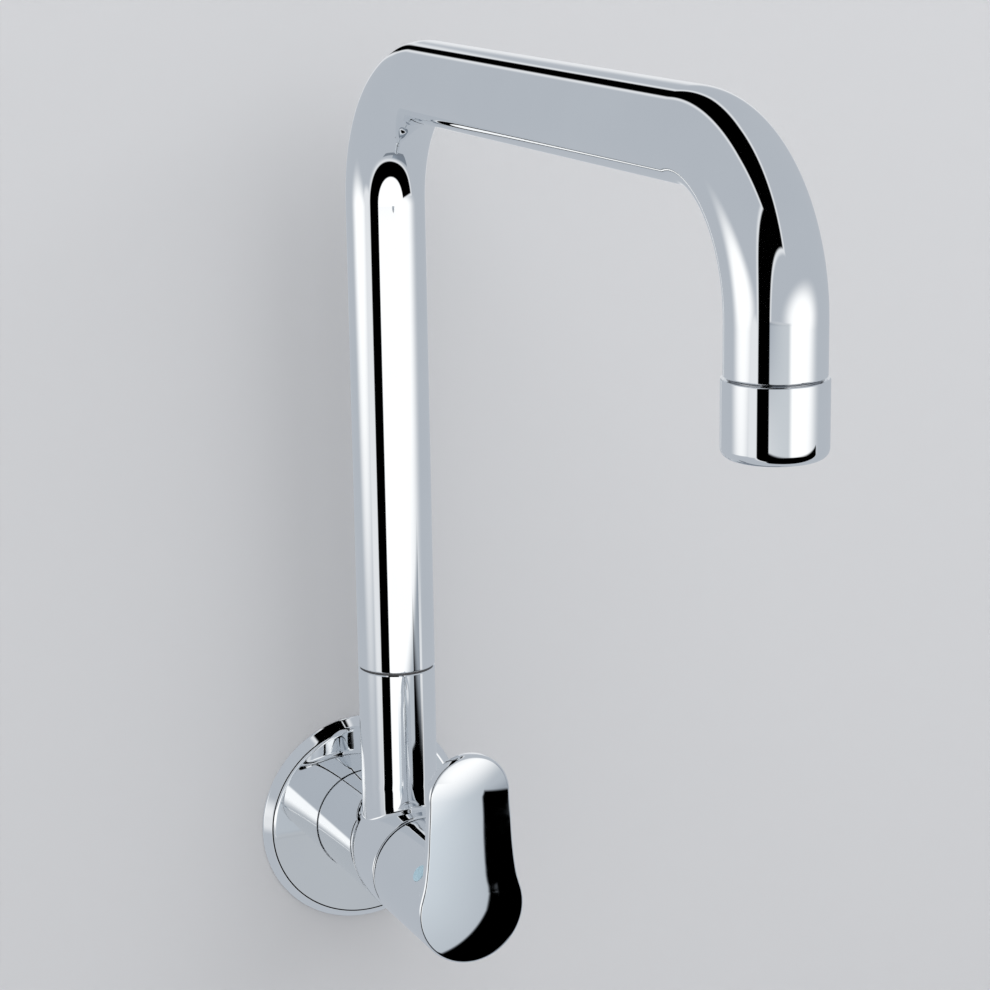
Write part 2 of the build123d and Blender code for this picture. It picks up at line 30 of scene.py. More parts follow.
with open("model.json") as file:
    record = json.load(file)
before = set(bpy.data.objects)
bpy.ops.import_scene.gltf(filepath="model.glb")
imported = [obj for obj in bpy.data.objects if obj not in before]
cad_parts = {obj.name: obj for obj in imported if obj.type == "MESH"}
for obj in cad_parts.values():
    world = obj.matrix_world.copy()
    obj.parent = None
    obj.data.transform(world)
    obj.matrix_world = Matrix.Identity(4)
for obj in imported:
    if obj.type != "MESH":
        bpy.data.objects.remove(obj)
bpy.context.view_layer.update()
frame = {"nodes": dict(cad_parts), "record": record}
nodes = frame["nodes"]
mm = 0.001


# Mesh code that every piece shares

weld, sliver = 2e-6, 1e-7   # points closer than this are merged, edges shorter than this dissolved
support = 0.06   # a point this close beside an arc keeps the flat next to it flat in smooth shading
crowding = 1.4   # power by which a drilled wall's rows crowd towards its mouth


def gridFaces(rows, columns, wrapRows, wrapColumns, first):
    # four neighbours of a grid make one face, for all of them at once
    i, j = np.meshgrid(np.arange(rows if wrapRows else rows - 1),
                       np.arange(columns if wrapColumns else columns - 1), indexing="ij")
    below, beside = (i + 1) % rows, (j + 1) % columns
    corners = (i * columns + j, i * columns + beside, below * columns + beside, below * columns + j)
    return first + np.stack(corners, -1).reshape(-1, 4)


def grid(points, wrapRows=False, wrapColumns=True):
    # rows and columns of points in metres, and whether the last row or column joins the first
    return {"points": np.asarray(points, float), "wrapRows": wrapRows, "wrapColumns": wrapColumns}


def addObject(name, data):
    # a new object at the origin, unturned
    thing = bpy.data.objects.new(name, data)
    bpy.context.scene.collection.objects.link(thing)
    return thing


def addSheet(name, corners):
    # one flat face with four corners
    mesh = bpy.data.meshes.new(name)
    mesh.from_pydata(corners, [], [(0, 1, 2, 3)])
    return addObject(name, mesh)


def makePiece(name, grids, body, stands, material, sharp=32.0):
    # The points of all its grids, end to end, make one mesh. It rides on its body and takes the place of
    # the CAD nodes that it stands for.
    points, faces, first = [], [], 0
    for part in grids:
        rows, columns = part["points"].shape[:2]
        points.append(part["points"].reshape(-1, 3))
        faces.append(gridFaces(rows, columns, part["wrapRows"], part["wrapColumns"], first))
        first += rows * columns
    mesh = bpy.data.meshes.new(name)
    mesh.from_pydata(np.concatenate(points).tolist(), [], np.concatenate(faces).tolist())
    finishMesh(mesh, sharp)
    mesh.materials.append(material)
    piece = addObject(name, mesh)
    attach(piece, body)
    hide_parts(*stands)


def finishMesh(mesh, sharp):
    # doubles along seams and poles merged, normals turned outwards, edges past the sharp angle kept crisp
    work = bmesh.new()
    work.from_mesh(mesh)
    bmesh.ops.remove_doubles(work, verts=work.verts, dist=weld)
    bmesh.ops.dissolve_degenerate(work, edges=work.edges, dist=sliver)
    bmesh.ops.recalc_face_normals(work, faces=work.faces)
    work.to_mesh(mesh)
    work.free()
    mesh.shade_smooth()
    mesh.set_sharp_from_angle(angle=radians(sharp))


def unit(vector):
    # the vector's direction
    return vector / np.linalg.norm(vector)


def arcBetween(first, last, share):
    # Directions between two unit vectors, each weighted by the sine of its part of the angle between them
    turn = np.arccos(np.clip((first * last).sum(-1, keepdims=True), -1, 1))
    return (np.sin((1 - share) * turn) * first + np.sin(share * turn) * last) / np.sin(turn)


def rounded(corners, steps=7):
    # Closed outline. A corner (across, along, radius) becomes an arc tangent to both of its sides, with a
    # support point beside each end.
    outline = []
    share = np.linspace(0, 1, steps + 1)[:, None]
    for k, (across, along, radius) in enumerate(corners):
        here = np.array([across, along])
        back = unit(np.array(corners[k - 1][:2]) - here)
        ahead = unit(np.array(corners[(k + 1) % len(corners)][:2]) - here)
        if radius == 0:
            outline.append(here[None])
            continue
        half = np.arccos(np.clip(back @ ahead, -1, 1)) / 2
        centre = here + unit(back + ahead) * radius / np.sin(half)
        start, end = here + back * radius / np.tan(half), here + ahead * radius / np.tan(half)
        arc = centre + radius * arcBetween((start - centre) / radius, (end - centre) / radius, share)
        outline.append(np.concatenate([(start + back * support)[None], arc, (end + ahead * support)[None]]))
    return np.concatenate(outline)


def turnedOnBarrel(outline, around):
    # (radius, out) goes to (radius sin a, -out, radius cos a), all in mm
    angle = np.linspace(0, 2 * pi, around, endpoint=False)
    radius, out = np.asarray(outline, float).T
    return np.stack([np.outer(radius, np.sin(angle)), np.outer(-out, np.ones(around)),
                     np.outer(radius, np.cos(angle))], -1) * mm


def turnedUpright(outline, out, around):
    # (radius, z) goes to (radius cos a, -out + radius sin a, z), all in mm
    angle = np.linspace(0, 2 * pi, around, endpoint=False)
    radius, height = np.asarray(outline, float).T
    return np.stack([np.outer(radius, np.cos(angle)), -out + np.outer(radius, np.sin(angle)),
                     np.outer(height, np.ones(around))], -1) * mm


def mixRows(first, last, count, power):
    # rows of points that go straight from one loop of points to another, crowded towards the first by a power
    share = (np.linspace(0, 1, count) ** power)[:, None, None]
    return (1 - share) * first[None] + share * last[None]


def halfPipe(radius, mouth, middle, lowEdge, highEdge, counts):
    # Half of a pipe's wall with one mouth in its middle, as (angle, along) points. Rows run from the
    # mouth's rim to the half's border; each border point is joined to the rim point that lies in its own
    # direction.
    share = np.linspace(0, 1, counts["side"], endpoint=False)
    turn = np.linspace(pi / 2, -pi / 2, counts["long"], endpoint=False)
    sideAt = lambda angle, start, end: np.stack(
        [np.full_like(share, angle), start(angle) + share * (end(angle) - start(angle))], -1)
    top = np.stack([turn, highEdge(turn)], -1)
    bottom = np.stack([-turn, lowEdge(-turn)], -1)
    border = np.concatenate([sideAt(pi / 2, lowEdge, highEdge), top,
                             sideAt(-pi / 2, highEdge, lowEdge), bottom])
    direction = np.arctan2(border[:, 1] - middle, radius * border[:, 0])
    return mixRows(mouth(direction), border, counts["rows"], crowding), direction


def otherHalf(lowEdge, highEdge, counts):
    # the half of the pipe's wall away from the mouth, as (angle, along) points
    angle = np.linspace(pi / 2, 3 * pi / 2, counts["long"] + 1)
    folded = (angle + pi) % (2 * pi) - pi
    share = np.linspace(0, 1, counts["side"] + 1)[:, None]
    low, high = lowEdge(folded), highEdge(folded)
    return np.stack([np.broadcast_to(angle, (len(share), len(angle))), low + share * (high - low)], -1)


def drilledPipe(radius, mouth, middle, lowEdge, highEdge, counts, place):
    # both halves of a pipe's wall with one mouth, set in space by place(angle, along)
    skin, direction = halfPipe(radius, mouth, middle, lowEdge, highEdge, counts)
    rest = otherHalf(lowEdge, highEdge, counts)
    front = grid(place(skin[..., 0], skin[..., 1]))
    return [front, grid(place(rest[..., 0], rest[..., 1]), wrapColumns=False)], direction


def boreMouth(pipeRadius, boreRadius, middle, shift=0.0):
    # rim of a round bore that meets a pipe square to its axis
    def mouth(direction):
        across = boreRadius * np.cos(direction)
        return np.stack([np.arcsin(across / pipeRadius) + shift, middle + boreRadius * np.sin(direction)], -1)
    return mouth


def level(value):
    # an edge that stays at one place all round
    return lambda angle: np.full_like(angle, value, dtype=float)


# Nodes, and the surface effects that the materials share

def addNode(tree, kind, values=None, **options):
    # a node with its options set, and with each given input linked to a socket or set to a value
    node = tree.nodes.new(kind)
    for option, value in options.items():
        setattr(node, option, value)
    for socket, value in (values or {}).items():
        if isinstance(value, bpy.types.NodeSocket):
            tree.links.new(value, node.inputs[socket])
        else:
            node.inputs[socket].default_value = value
    return node


def maths(tree, operation, first, second=0.0, third=0.0):
    # one sum of numbers, such as "ADD"
    return addNode(tree, "ShaderNodeMath", {0: first, 1: second, 2: third}, operation=operation).outputs[0]


def along(tree, direction, vector):
    # how far a direction goes along a vector
    node = addNode(tree, "ShaderNodeVectorMath", {0: direction, 1: vector}, operation="DOT_PRODUCT")
    return node.outputs["Value"]


def noiseField(tree, place, scale, detail):
    # soft noise from 0 to 1
    node = addNode(tree, "ShaderNodeTexNoise", {"Vector": place, "Scale": scale, "Detail": detail})
    return node.outputs["Fac"]


def evenStep(tree, value, low, high, start=0.0, end=1.0):
    # straight change from start at low to end at high, held level outside
    return addNode(tree, "ShaderNodeMapRange", {"Value": value, "From Min": low, "From Max": high,
                                                "To Min": start, "To Max": end}).outputs[0]


def softStep(tree, value, start, end):
    # smooth step from 0 at start to 1 at end
    return addNode(tree, "ShaderNodeMapRange", {"Value": value, "From Min": start, "From Max": end},
                   interpolation_type="SMOOTHSTEP").outputs[0]


def mixColour(tree, share, first, last):
    # the first colour at share 0, the last one at 1
    return addNode(tree, "ShaderNodeMix", {0: share, 6: first, 7: last}, data_type="RGBA").outputs[2]


def newGroup(name, inputs, outputs):
    # an empty node group with (name, kind, value) inputs and (name, kind) outputs
    group = bpy.data.node_groups.new(name, "ShaderNodeTree")
    for label, kind, value in inputs:
        socket = group.interface.new_socket(label, in_out="INPUT", socket_type=kind)
        if value is not None:
            socket.default_value = value
    for label, kind in outputs:
        group.interface.new_socket(label, in_out="OUTPUT", socket_type=kind)
    return group, group.nodes.new("NodeGroupInput"), group.nodes.new("NodeGroupOutput")


smudges = {"broad": 38.0, "fine": 420.0, "haze": (0.5, 0.74), "speck": (0.35, 0.7)}


def smudgeGroup(s):
    # Roughness of a handled, wiped surface: finger ridges in a fine noise, where a broad one lets them show
    group, source, result = newGroup("handledSurface", [
        ("Place", "NodeSocketVector", None), ("Clean", "NodeSocketFloat", 0.03),
        ("Hazy", "NodeSocketFloat", 0.1)], [("Roughness", "NodeSocketFloat")])
    haze = evenStep(group, noiseField(group, source.outputs["Place"], s["broad"], 4.0), *s["haze"])
    speck = evenStep(group, noiseField(group, source.outputs["Place"], s["fine"], 6.0), *s["speck"])
    rough = evenStep(group, maths(group, "MULTIPLY", haze, speck), 0.0, 1.0, source.outputs["Clean"],
                     source.outputs["Hazy"])
    group.links.new(rough, result.inputs["Roughness"])
    return group


def scratchGroup():
    # Fine wiping scratches, as a bump height: a thin line wherever a stretched noise crosses its middle
    group, source, result = newGroup("wipeMarks", [
        ("Place", "NodeSocketVector", None), ("Stretch", "NodeSocketVector", (900, 60, 60)),
        ("Width", "NodeSocketFloat", 0.02)], [("Height", "NodeSocketFloat")])
    stretched = addNode(group, "ShaderNodeVectorMath",
                        {0: source.outputs["Place"], 1: source.outputs["Stretch"]}, operation="MULTIPLY")
    away = maths(group, "SUBTRACT", noiseField(group, stretched.outputs[0], 1.0, 2.0), 0.5)
    line = evenStep(group, maths(group, "ABSOLUTE", away), 0.0, source.outputs["Width"], 1.0, 0.0)
    group.links.new(line, result.inputs["Height"])
    return group


def toneGroup():
    # Two colours mixed by a noise of a given scale, the less the contrast the sharper their border
    group, source, result = newGroup("cloudyTone", [
        ("Place", "NodeSocketVector", None), ("Scale", "NodeSocketFloat", 60.0),
        ("Contrast", "NodeSocketFloat", 0.3), ("Light", "NodeSocketColor", (0.8, 0.8, 0.8, 1)),
        ("Dark", "NodeSocketColor", (0.6, 0.6, 0.6, 1))], [("Colour", "NodeSocketColor")])
    cloud = noiseField(group, source.outputs["Place"], source.outputs["Scale"], 5.0)
    low = maths(group, "SUBTRACT", 0.5, source.outputs["Contrast"])
    high = maths(group, "ADD", 0.5, source.outputs["Contrast"])
    mask = evenStep(group, cloud, low, high)
    tone = mixColour(group, mask, source.outputs["Dark"], source.outputs["Light"])
    group.links.new(tone, result.inputs["Colour"])
    return group


handledSurface, wipeMarks, cloudyTone = smudgeGroup(smudges), scratchGroup(), toneGroup()
toneContrast = 0.22


def newMaterial(name):
    # a material, its nodes and its own shader
    material = bpy.data.materials.new(name)
    material.use_nodes = True
    tree = material.node_tree
    return material, tree, tree.nodes["Principled BSDF"]


def placeGroup(tree, group, values):
    # a shared effect, placed with its own values
    return addNode(tree, "ShaderNodeGroup", values, node_tree=group)


def finishedMaterial(name, look):
    # One recipe for every finish: cloudy tone, handled roughness, fine marks in the bump
    material, tree, shader = newMaterial(name)
    place = addNode(tree, "ShaderNodeTexCoord").outputs["Object"]
    tone = placeGroup(tree, cloudyTone, {"Place": place, "Scale": look["toneScale"], "Contrast": toneContrast,
                                         "Light": (*look["light"], 1), "Dark": (*look["dark"], 1)})
    tree.links.new(tone.outputs["Colour"], shader.inputs["Base Color"])
    rough = placeGroup(tree, handledSurface, {"Place": place, "Clean": look["clean"], "Hazy": look["hazy"]})
    tree.links.new(rough.outputs["Roughness"], shader.inputs["Roughness"])
    marks = placeGroup(tree, wipeMarks, {"Place": place, "Stretch": look["stretch"], "Width": look["width"]})
    bump = addNode(tree, "ShaderNodeBump", {"Strength": look["strength"], "Distance": look["depth"],
                                            "Height": marks.outputs["Height"]})
    tree.links.new(bump.outputs[0], shader.inputs["Normal"])
    shader.inputs["Metallic"].default_value = look.get("metallic", 0.0)
    shader.inputs["Coat Weight"].default_value = look.get("coat", 0.0)
    return material


chromeLook = {"light": (0.93, 0.945, 0.955), "dark": (0.9, 0.915, 0.93), "toneScale": 30.0, "clean": 0.022,
              "hazy": 0.075, "stretch": (1400, 90, 90), "width": 0.012, "strength": 0.04, "depth": 2e-6,
              "metallic": 1.0}
# painted shade: chrome made darker, and rougher, for the parts that lie deep in the spout's seams
seamShadeLook = dict(chromeLook, light=(0.5, 0.51, 0.53), dark=(0.4, 0.41, 0.43), clean=0.12, hazy=0.2)
brassLook = {"light": (0.78, 0.58, 0.26), "dark": (0.6, 0.41, 0.17), "toneScale": 90.0, "clean": 0.24,
             "hazy": 0.4, "stretch": (60, 2600, 60), "width": 0.08, "strength": 0.35, "depth": 2e-5,
             "metallic": 1.0}
steelLook = {"light": (0.66, 0.66, 0.67), "dark": (0.5, 0.5, 0.52), "toneScale": 120.0, "clean": 0.3,
             "hazy": 0.42, "stretch": (2200, 80, 80), "width": 0.06, "strength": 0.3, "depth": 1e-5,
             "metallic": 1.0}
rubberLook = {"light": (0.035, 0.035, 0.037), "dark": (0.018, 0.018, 0.02), "toneScale": 200.0, "clean": 0.55,
              "hazy": 0.75, "stretch": (500, 500, 500), "width": 0.05, "strength": 0.3, "depth": 3e-5}
fibreLook = {"light": (0.42, 0.12, 0.075), "dark": (0.28, 0.06, 0.04), "toneScale": 500.0, "clean": 0.7,
             "hazy": 0.85, "stretch": (2500, 400, 400), "width": 0.1, "strength": 0.5, "depth": 6e-5}
ceramicLook = {"light": (0.88, 0.86, 0.82), "dark": (0.82, 0.8, 0.76), "toneScale": 400.0, "clean": 0.16,
               "hazy": 0.26, "stretch": (900, 900, 900), "width": 0.02, "strength": 0.1, "depth": 5e-6}
acetalLook = {"light": (0.86, 0.86, 0.84), "dark": (0.8, 0.8, 0.78), "toneScale": 150.0, "clean": 0.36,
              "hazy": 0.5, "stretch": (700, 700, 700), "width": 0.03, "strength": 0.2, "depth": 1e-5}
darkAcetalLook = dict(acetalLook, light=(0.11, 0.11, 0.115), dark=(0.07, 0.07, 0.075))
blueLook = {"light": (0.55, 0.76, 0.86), "dark": (0.46, 0.68, 0.8), "toneScale": 300.0, "clean": 0.18,
            "hazy": 0.3, "stretch": (900, 900, 900), "width": 0.02, "strength": 0.1, "depth": 5e-6,
            "coat": 0.3}

chrome = finishedMaterial("polishedChrome", chromeLook)
brass = finishedMaterial("turnedBrass", brassLook)
steel = finishedMaterial("satinSteel", steelLook)
rubber = finishedMaterial("blackRubber", rubberLook)
fibre = finishedMaterial("pressedFibre", fibreLook)
ceramic = finishedMaterial("lappedCeramic", ceramicLook)
acetal = finishedMaterial("whiteAcetal", acetalLook)
darkAcetal = finishedMaterial("blackAcetal", darkAcetalLook)
blue = finishedMaterial("bluePlastic", blueLook)
# painted shade for the parts seen in the spout's seams
seamShadePlate = finishedMaterial("seamShadePlate", seamShadeLook)
finishes = {"polished_chrome": chrome, "turned_brass": brass, "stainless_steel": steel,
            "black_rubber": rubber, "red_fibre": fibre, "alumina_ceramic": ceramic, "white_acetal": acetal,
            "black_acetal": darkAcetal, "blue_plastic": blue}
seamShadeMaterials = {"outlet_insert": seamShadePlate, "swivel_spigot": seamShadePlate}   # plated metal darkened as painted shade, where the insert and spigot show in the spout's seams

for row in frame["record"]["subparts"]:
    node = nodes[row["node"]]
    node.data.materials.clear()
    node.data.materials.append(seamShadeMaterials.get(row["node"], finishes[row["material_slot"]]))
print("materials made")


# Wall flange: a hollow turned cover with a ring groove in its bore

flange = {"rim": 36.0, "rimWall": 0.9, "rimRound": 0.5, "shoulder": 33.4, "shoulderRound": 2.1, "depth": 4.2,
          "wall": 1.2, "bore": 17.9, "boreRound": 0.25, "groove": (1.6, 3.3), "grooveFloor": 19.6,
          "collar": 21.9, "collarBack": 0.8, "collarRound": 0.4, "insideEdge": 32.3, "insideRound": 0.6,
          "rimInsideRound": 0.3, "around": 288}


def buildFlange(f):
    # Section: outside of the rim, sloping edge, face, bore with its groove, collar, and back along the inside
    inside, rimInside = f["depth"] - f["wall"], f["rim"] - f["wall"]
    grooveBack, grooveFront = f["groove"]
    outline = rounded([
        (f["rim"], 0, 0), (f["rim"], f["rimWall"], f["rimRound"]),
        (f["shoulder"], f["depth"], f["shoulderRound"]), (f["bore"], f["depth"], f["boreRound"]),
        (f["bore"], grooveFront, 0), (f["grooveFloor"], grooveFront, 0), (f["grooveFloor"], grooveBack, 0),
        (f["bore"], grooveBack, 0), (f["bore"], f["collarBack"], 0),
        (f["collar"], f["collarBack"], 0), (f["collar"], inside, f["collarRound"]),
        (f["insideEdge"], inside, f["insideRound"]), (rimInside, f["rimWall"], f["rimInsideRound"]),
        (rimInside, 0, 0)])
    return [grid(turnedOnBarrel(outline, f["around"]), wrapRows=True)]


makePiece("flangeShell", buildFlange(flange), "body", ["wall_flange"], chrome)


# Barrel sleeve and body casting. The seam between them is a plane that leans back with the height, and an
# upright notch round the stub.

barrel = {"radius": 17.75, "sleeveInside": 16.55, "sleeveRear": 0.9, "sleeveEdge": 0.35, "sleeveColumns": 512,
          "seam": 38.0, "lean": 0.432, "notch": 14.4, "gap": 1.0, "seamEdge": 0.4, "rearRadius": 16.4,
          "bodyRear": 9.0, "front": 55.5, "edge": 0.7, "counts": {"side": 28, "long": 180, "rows": 22}}
stub = {"out": 36.0, "radius": 12.5, "fillet": 1.2, "top": 63.8, "chamfer": 0.3, "socket": 10.1,
        "socketFloor": 32.0, "socketEdge": 0.2, "passage": 7.0, "passageStep": 4.0, "evenHeight": 25.0,
        "footBand": 0.1, "screwHeight": 44.0, "screwHole": 2.55, "counts": {"side": 16, "rows": 20}}
chamber = {"radius": 10.6, "seat": 28.5, "sealRadius": 12.6, "sealDepth": 1.0, "sealEdge": 0.15,
           "seatHole": 5.5, "inletStep": 19.5, "inletRadius": 11.0}


def seamEdge(angle, radius, offset):
    # Where the leaning seam plane or the upright notch meets a barrel of this radius, as the distance out of
    # the wall: the nearer of the two inside the notch's width, and the plane elsewhere
    across, height = radius * np.sin(angle), radius * np.cos(angle)
    plane = barrel["seam"] + offset - barrel["lean"] * height
    notchRadius = barrel["notch"] - offset
    inNotch = (np.abs(across) < notchRadius) & (height > 0)
    depth = np.sqrt(np.clip(notchRadius ** 2 - across ** 2, 0, None))
    return np.where(inNotch, np.minimum(plane, stub["out"] - depth), plane)


def onBarrel(angle, out, radius):
    # angle runs from +Z towards +X
    return np.stack(np.broadcast_arrays(radius * np.sin(angle), -out, radius * np.cos(angle)), -1) * mm


def ringsOnBarrel(angle, steps):
    # one row of points round the barrel for each step (radius, out)
    return np.concatenate([onBarrel(angle, out, radius)[None] for radius, out in steps])


def buildSleeve(b):
    # Rows round the tube: rear edge, outside, rounded front edge, inside. Two rows close behind the rounding
    # keep the outside flat in smooth shading.
    angle = np.linspace(-pi, pi, b["sleeveColumns"], endpoint=False)
    radius, edge = b["radius"], b["sleeveEdge"]
    outer, inner = seamEdge(angle, radius, 0), seamEdge(angle, b["sleeveInside"], 0)
    steps = [(radius, b["sleeveRear"]), (radius, outer - 1.4 * edge), (radius, outer - 1.2 * edge)]
    steps += [(radius - edge * (1 - cos(t)), outer - edge * (1 - sin(t))) for t in np.linspace(0, pi / 2, 5)]
    steps += [(b["sleeveInside"], inner), (b["sleeveInside"], b["sleeveRear"])]
    return [grid(ringsOnBarrel(angle, steps), wrapRows=True)]


def stubFoot(direction, share):
    # Rolling ball between the stub and the barrel: its centre keeps its radius off both, and the arc swings
    # from the stub's side to the barrel's
    ball, reach = stub["fillet"], stub["radius"] + stub["fillet"]
    across, out = reach * np.cos(direction), stub["out"] + reach * np.sin(direction)
    height = np.sqrt((barrel["radius"] + ball) ** 2 - across ** 2)
    centre = np.stack([across, -out, height], -1)
    toStub = -np.stack([np.cos(direction), -np.sin(direction), 0 * direction], -1)
    toBarrel = -np.stack([across, 0 * across, height], -1) / (barrel["radius"] + ball)
    return centre + ball * arcBetween(toStub, toBarrel, share)


def footMouth(direction):
    # the fillet's rim on the barrel, as (angle, out)
    rim = stubFoot(direction, 1.0)
    return np.stack([np.arctan2(rim[:, 0], rim[:, 2]), -rim[:, 1]], -1)


def onStub(angle, height, radius):
    # angle runs from the wall's side, where the screw hole is, towards +X
    across, back = radius * np.sin(angle), -stub["out"] + radius * np.cos(angle)
    return np.stack(np.broadcast_arrays(across, back, height), -1) * mm


def ringsOnStub(angle, steps):
    # one row of points round the stub for each step (radius, height)
    return np.concatenate([onStub(angle, height, radius)[None] for radius, height in steps])


def buildBody(b, s, c):
    # The barrel's skin with the fillet's rim as its mouth, the fillet, the stub, and the steps and the
    # chamber inside
    rear = lambda angle: seamEdge(angle, b["radius"], b["gap"]) + b["seamEdge"]
    grids, direction = drilledPipe(b["radius"], footMouth, s["out"], rear, level(b["front"] - b["edge"]),
                                   b["counts"], lambda angle, out: onBarrel(angle, out, b["radius"]))
    fillet = np.stack([stubFoot(direction, t) for t in np.linspace(0, 1, 9)]) * mm
    grids.append(grid(fillet))
    grids += buildStub(s, direction, fillet[0])
    return grids + buildBarrelSteps(b, c) + buildChamber(b, s, c, direction)


def aroundBarrel(b):
    # the angles of the skin's border, in the order of its columns: the stub's half, then the other one
    columns = b["counts"]["long"]
    turn = np.linspace(pi / 2, -pi / 2, columns, endpoint=False)
    return np.concatenate([turn, -np.linspace(pi / 2, 3 * pi / 2, columns + 1)[:-1]])


def buildBarrelSteps(b, c):
    # The step at the seam, the slim rear barrel under the sleeve, and the inlet's steps down to the valve's
    # seat
    angle = aroundBarrel(b)
    radius, edge = b["radius"], b["seamEdge"]
    rim = seamEdge(angle, radius, b["gap"])
    steps = [(radius - edge * (1 - cos(t)), rim + edge * (1 - sin(t))) for t in np.linspace(0, pi / 2, 6)]
    steps += [(b["rearRadius"], seamEdge(angle, b["rearRadius"], b["gap"])), (b["rearRadius"], b["bodyRear"]),
              (c["inletRadius"], b["bodyRear"]), (c["inletRadius"], c["inletStep"]),
              (c["seatHole"], c["inletStep"]), (c["seatHole"], c["seat"]), (c["radius"], c["seat"])]
    return [grid(ringsOnBarrel(angle, steps))]


def buildStub(s, direction, foot):
    # Outside of the stub with the screw's hole towards the wall, its top rim and its socket. Below, the
    # columns follow the fillet's directions; up to the even height they slide over to equal steps.
    count = len(direction)
    counts = dict(s["counts"], long=count // 2)
    step = 2 * pi / count
    start = np.unwrap(direction) + pi / 2
    even = (np.round(start[0] / step) + np.arange(count)) * step
    share = np.linspace(0, 1, 7)[1:, None]
    footHeight = foot[:, 2] / mm
    height = footHeight + share * (s["evenHeight"] - footHeight)
    slide = onStub(start + share * (even - start), height, s["radius"])
    skirt = np.concatenate([foot[None], foot[None] + [0, 0, s["footBand"] * mm], slide])
    rimLow, socketRim = s["top"] - s["chamfer"], s["top"] - s["socketEdge"]
    hole = lambda radius: boreMouth(radius, s["screwHole"], s["screwHeight"])
    outside, holeDirection = drilledPipe(
        s["radius"], hole(s["radius"]), s["screwHeight"], level(s["evenHeight"]), level(rimLow), counts,
        lambda angle, height: onStub(angle, height, s["radius"]))
    inside = drilledPipe(
        s["socket"], lambda _: hole(s["socket"])(holeDirection), s["screwHeight"], level(s["socketFloor"]),
        level(socketRim), counts, lambda angle, height: onStub(angle, height, s["socket"]))[0]
    ends = [onStub(*hole(radius)(holeDirection).T, radius)[None] for radius in (s["radius"], s["socket"])]
    rim = ringsOnStub(even, [(s["radius"], rimLow), (s["radius"] - s["chamfer"], s["top"]),
                             (s["socket"] + s["socketEdge"], s["top"]), (s["socket"], socketRim)])
    floor = ringsOnStub(even, [(s["socket"], s["socketFloor"]), (s["passage"], s["socketFloor"]),
                               (s["passage"], s["socketFloor"] - s["passageStep"])])
    low = np.sqrt(chamber["radius"] ** 2 - (s["passage"] * np.cos(direction)) ** 2)
    way = np.concatenate([floor, ringsOnStub(start, [(s["passage"], low)])])
    return [grid(skirt)] + outside + inside + [grid(np.concatenate(ends)), grid(rim), grid(way)]


def buildChamber(b, s, c, direction):
    # Valve chamber with the passage's mouth on top, the seal's seat and the front face with its rounded edge
    mouth = boreMouth(c["radius"], s["passage"], s["out"])
    sealFloor = b["front"] - c["sealDepth"]
    wall = drilledPipe(c["radius"], lambda _: mouth(direction), s["out"], level(c["seat"]), level(sealFloor),
                       b["counts"], lambda angle, out: onBarrel(angle, out, c["radius"]))[0]
    steps = [(c["radius"], sealFloor), (c["sealRadius"], sealFloor),
             (c["sealRadius"], b["front"] - c["sealEdge"]), (c["sealRadius"] + c["sealEdge"], b["front"]),
             (b["radius"] - b["edge"] - support, b["front"])]
    steps += [(b["radius"] - b["edge"] * (1 - sin(t)), b["front"] - b["edge"] * (1 - cos(t)))
              for t in np.linspace(0, pi / 2, 8)]
    return wall + [grid(ringsOnBarrel(aroundBarrel(b), steps))]


makePiece("sleeveTube", buildSleeve(barrel), "body", ["barrel_sleeve"], chrome)
makePiece("bodyCasting", buildBody(barrel, stub, chamber), "body", ["tap_body"], chrome)
print("flange, sleeve and body made")


# The threaded tail goes into the wall, so it shows only from behind

tail = {"thread": 10.48, "root": 9.32, "flank": 0.65, "pitch": 1.814, "length": 19.0, "lead": 1.0,
        "runout": 9.6, "runoutBack": 0.2, "hexBack": 1.6, "hexFront": 7.4, "flats": 12.0, "corner": 13.4,
        "cornerRim": 12.2, "chamfer": 0.5, "waist": 10.2, "spigot": 10.9, "spigotLead": 0.4, "front": 19.0,
        "bore": 6.5, "shoulder": 9.0, "stepsPerTurn": 12, "around": 192}


def threadRows(t, angle):
    # Each row climbs one pitch per turn and is held between the thread's two ends. The flanks are a
    # cosine wave along the thread, cut flat at crest and root, and the lead cone cuts them at the wall
    # end.
    count = int((t["length"] / t["pitch"] + 1) * t["stepsPerTurn"])
    turn = (np.arange(count)[:, None] / t["stepsPerTurn"] + angle[None] / (2 * pi)) - 1
    along = np.clip(turn * t["pitch"], 0, t["length"])
    wave = np.clip(0.5 + t["flank"] * np.cos(2 * pi * turn), 0, 1)
    crest = t["root"] + (t["thread"] - t["root"]) * wave
    lead = t["thread"] - t["lead"] + (t["length"] - along)
    ends = (along <= 0) | (along >= t["length"])
    radius = np.minimum(np.where(ends, t["root"], crest), lead)
    return onBarrel(angle[None], -along, radius)[::-1]


def buildTail(t):
    # Thread, chamfered hexagon and the spigot in the body. The hexagon's radius is that of its flats over the
    # cosine of the angle from a flat's middle, with its corners turned off.
    angle = np.linspace(0, 2 * pi, t["around"], endpoint=False)
    fromFlat = np.abs(angle % (pi / 3) - pi / 6)
    hexagon = np.minimum(t["flats"] / np.cos(fromFlat), t["corner"])
    rim = np.minimum(hexagon, t["cornerRim"])
    back, front = t["hexBack"], t["hexFront"]
    steps = [(t["runout"], t["runoutBack"]), (t["runout"], back), (rim, back), (hexagon, back + t["chamfer"]),
             (hexagon, front - t["chamfer"]), (rim, front), (t["waist"], front), (t["waist"], t["shoulder"]),
             (t["spigot"], t["shoulder"] + t["spigotLead"]), (t["spigot"], t["front"]),
             (t["bore"], t["front"])]
    wallEnd = ringsOnBarrel(angle, [(t["bore"], -t["length"])])
    rows = [wallEnd, threadRows(t, angle), ringsOnBarrel(angle, steps)]
    return [grid(np.concatenate(rows), wrapRows=True)]


makePiece("inletTail", buildTail(tail), "body", ["inlet_tail"], brass)
print("inlet tail made")


# Spout tube and nozzle cup

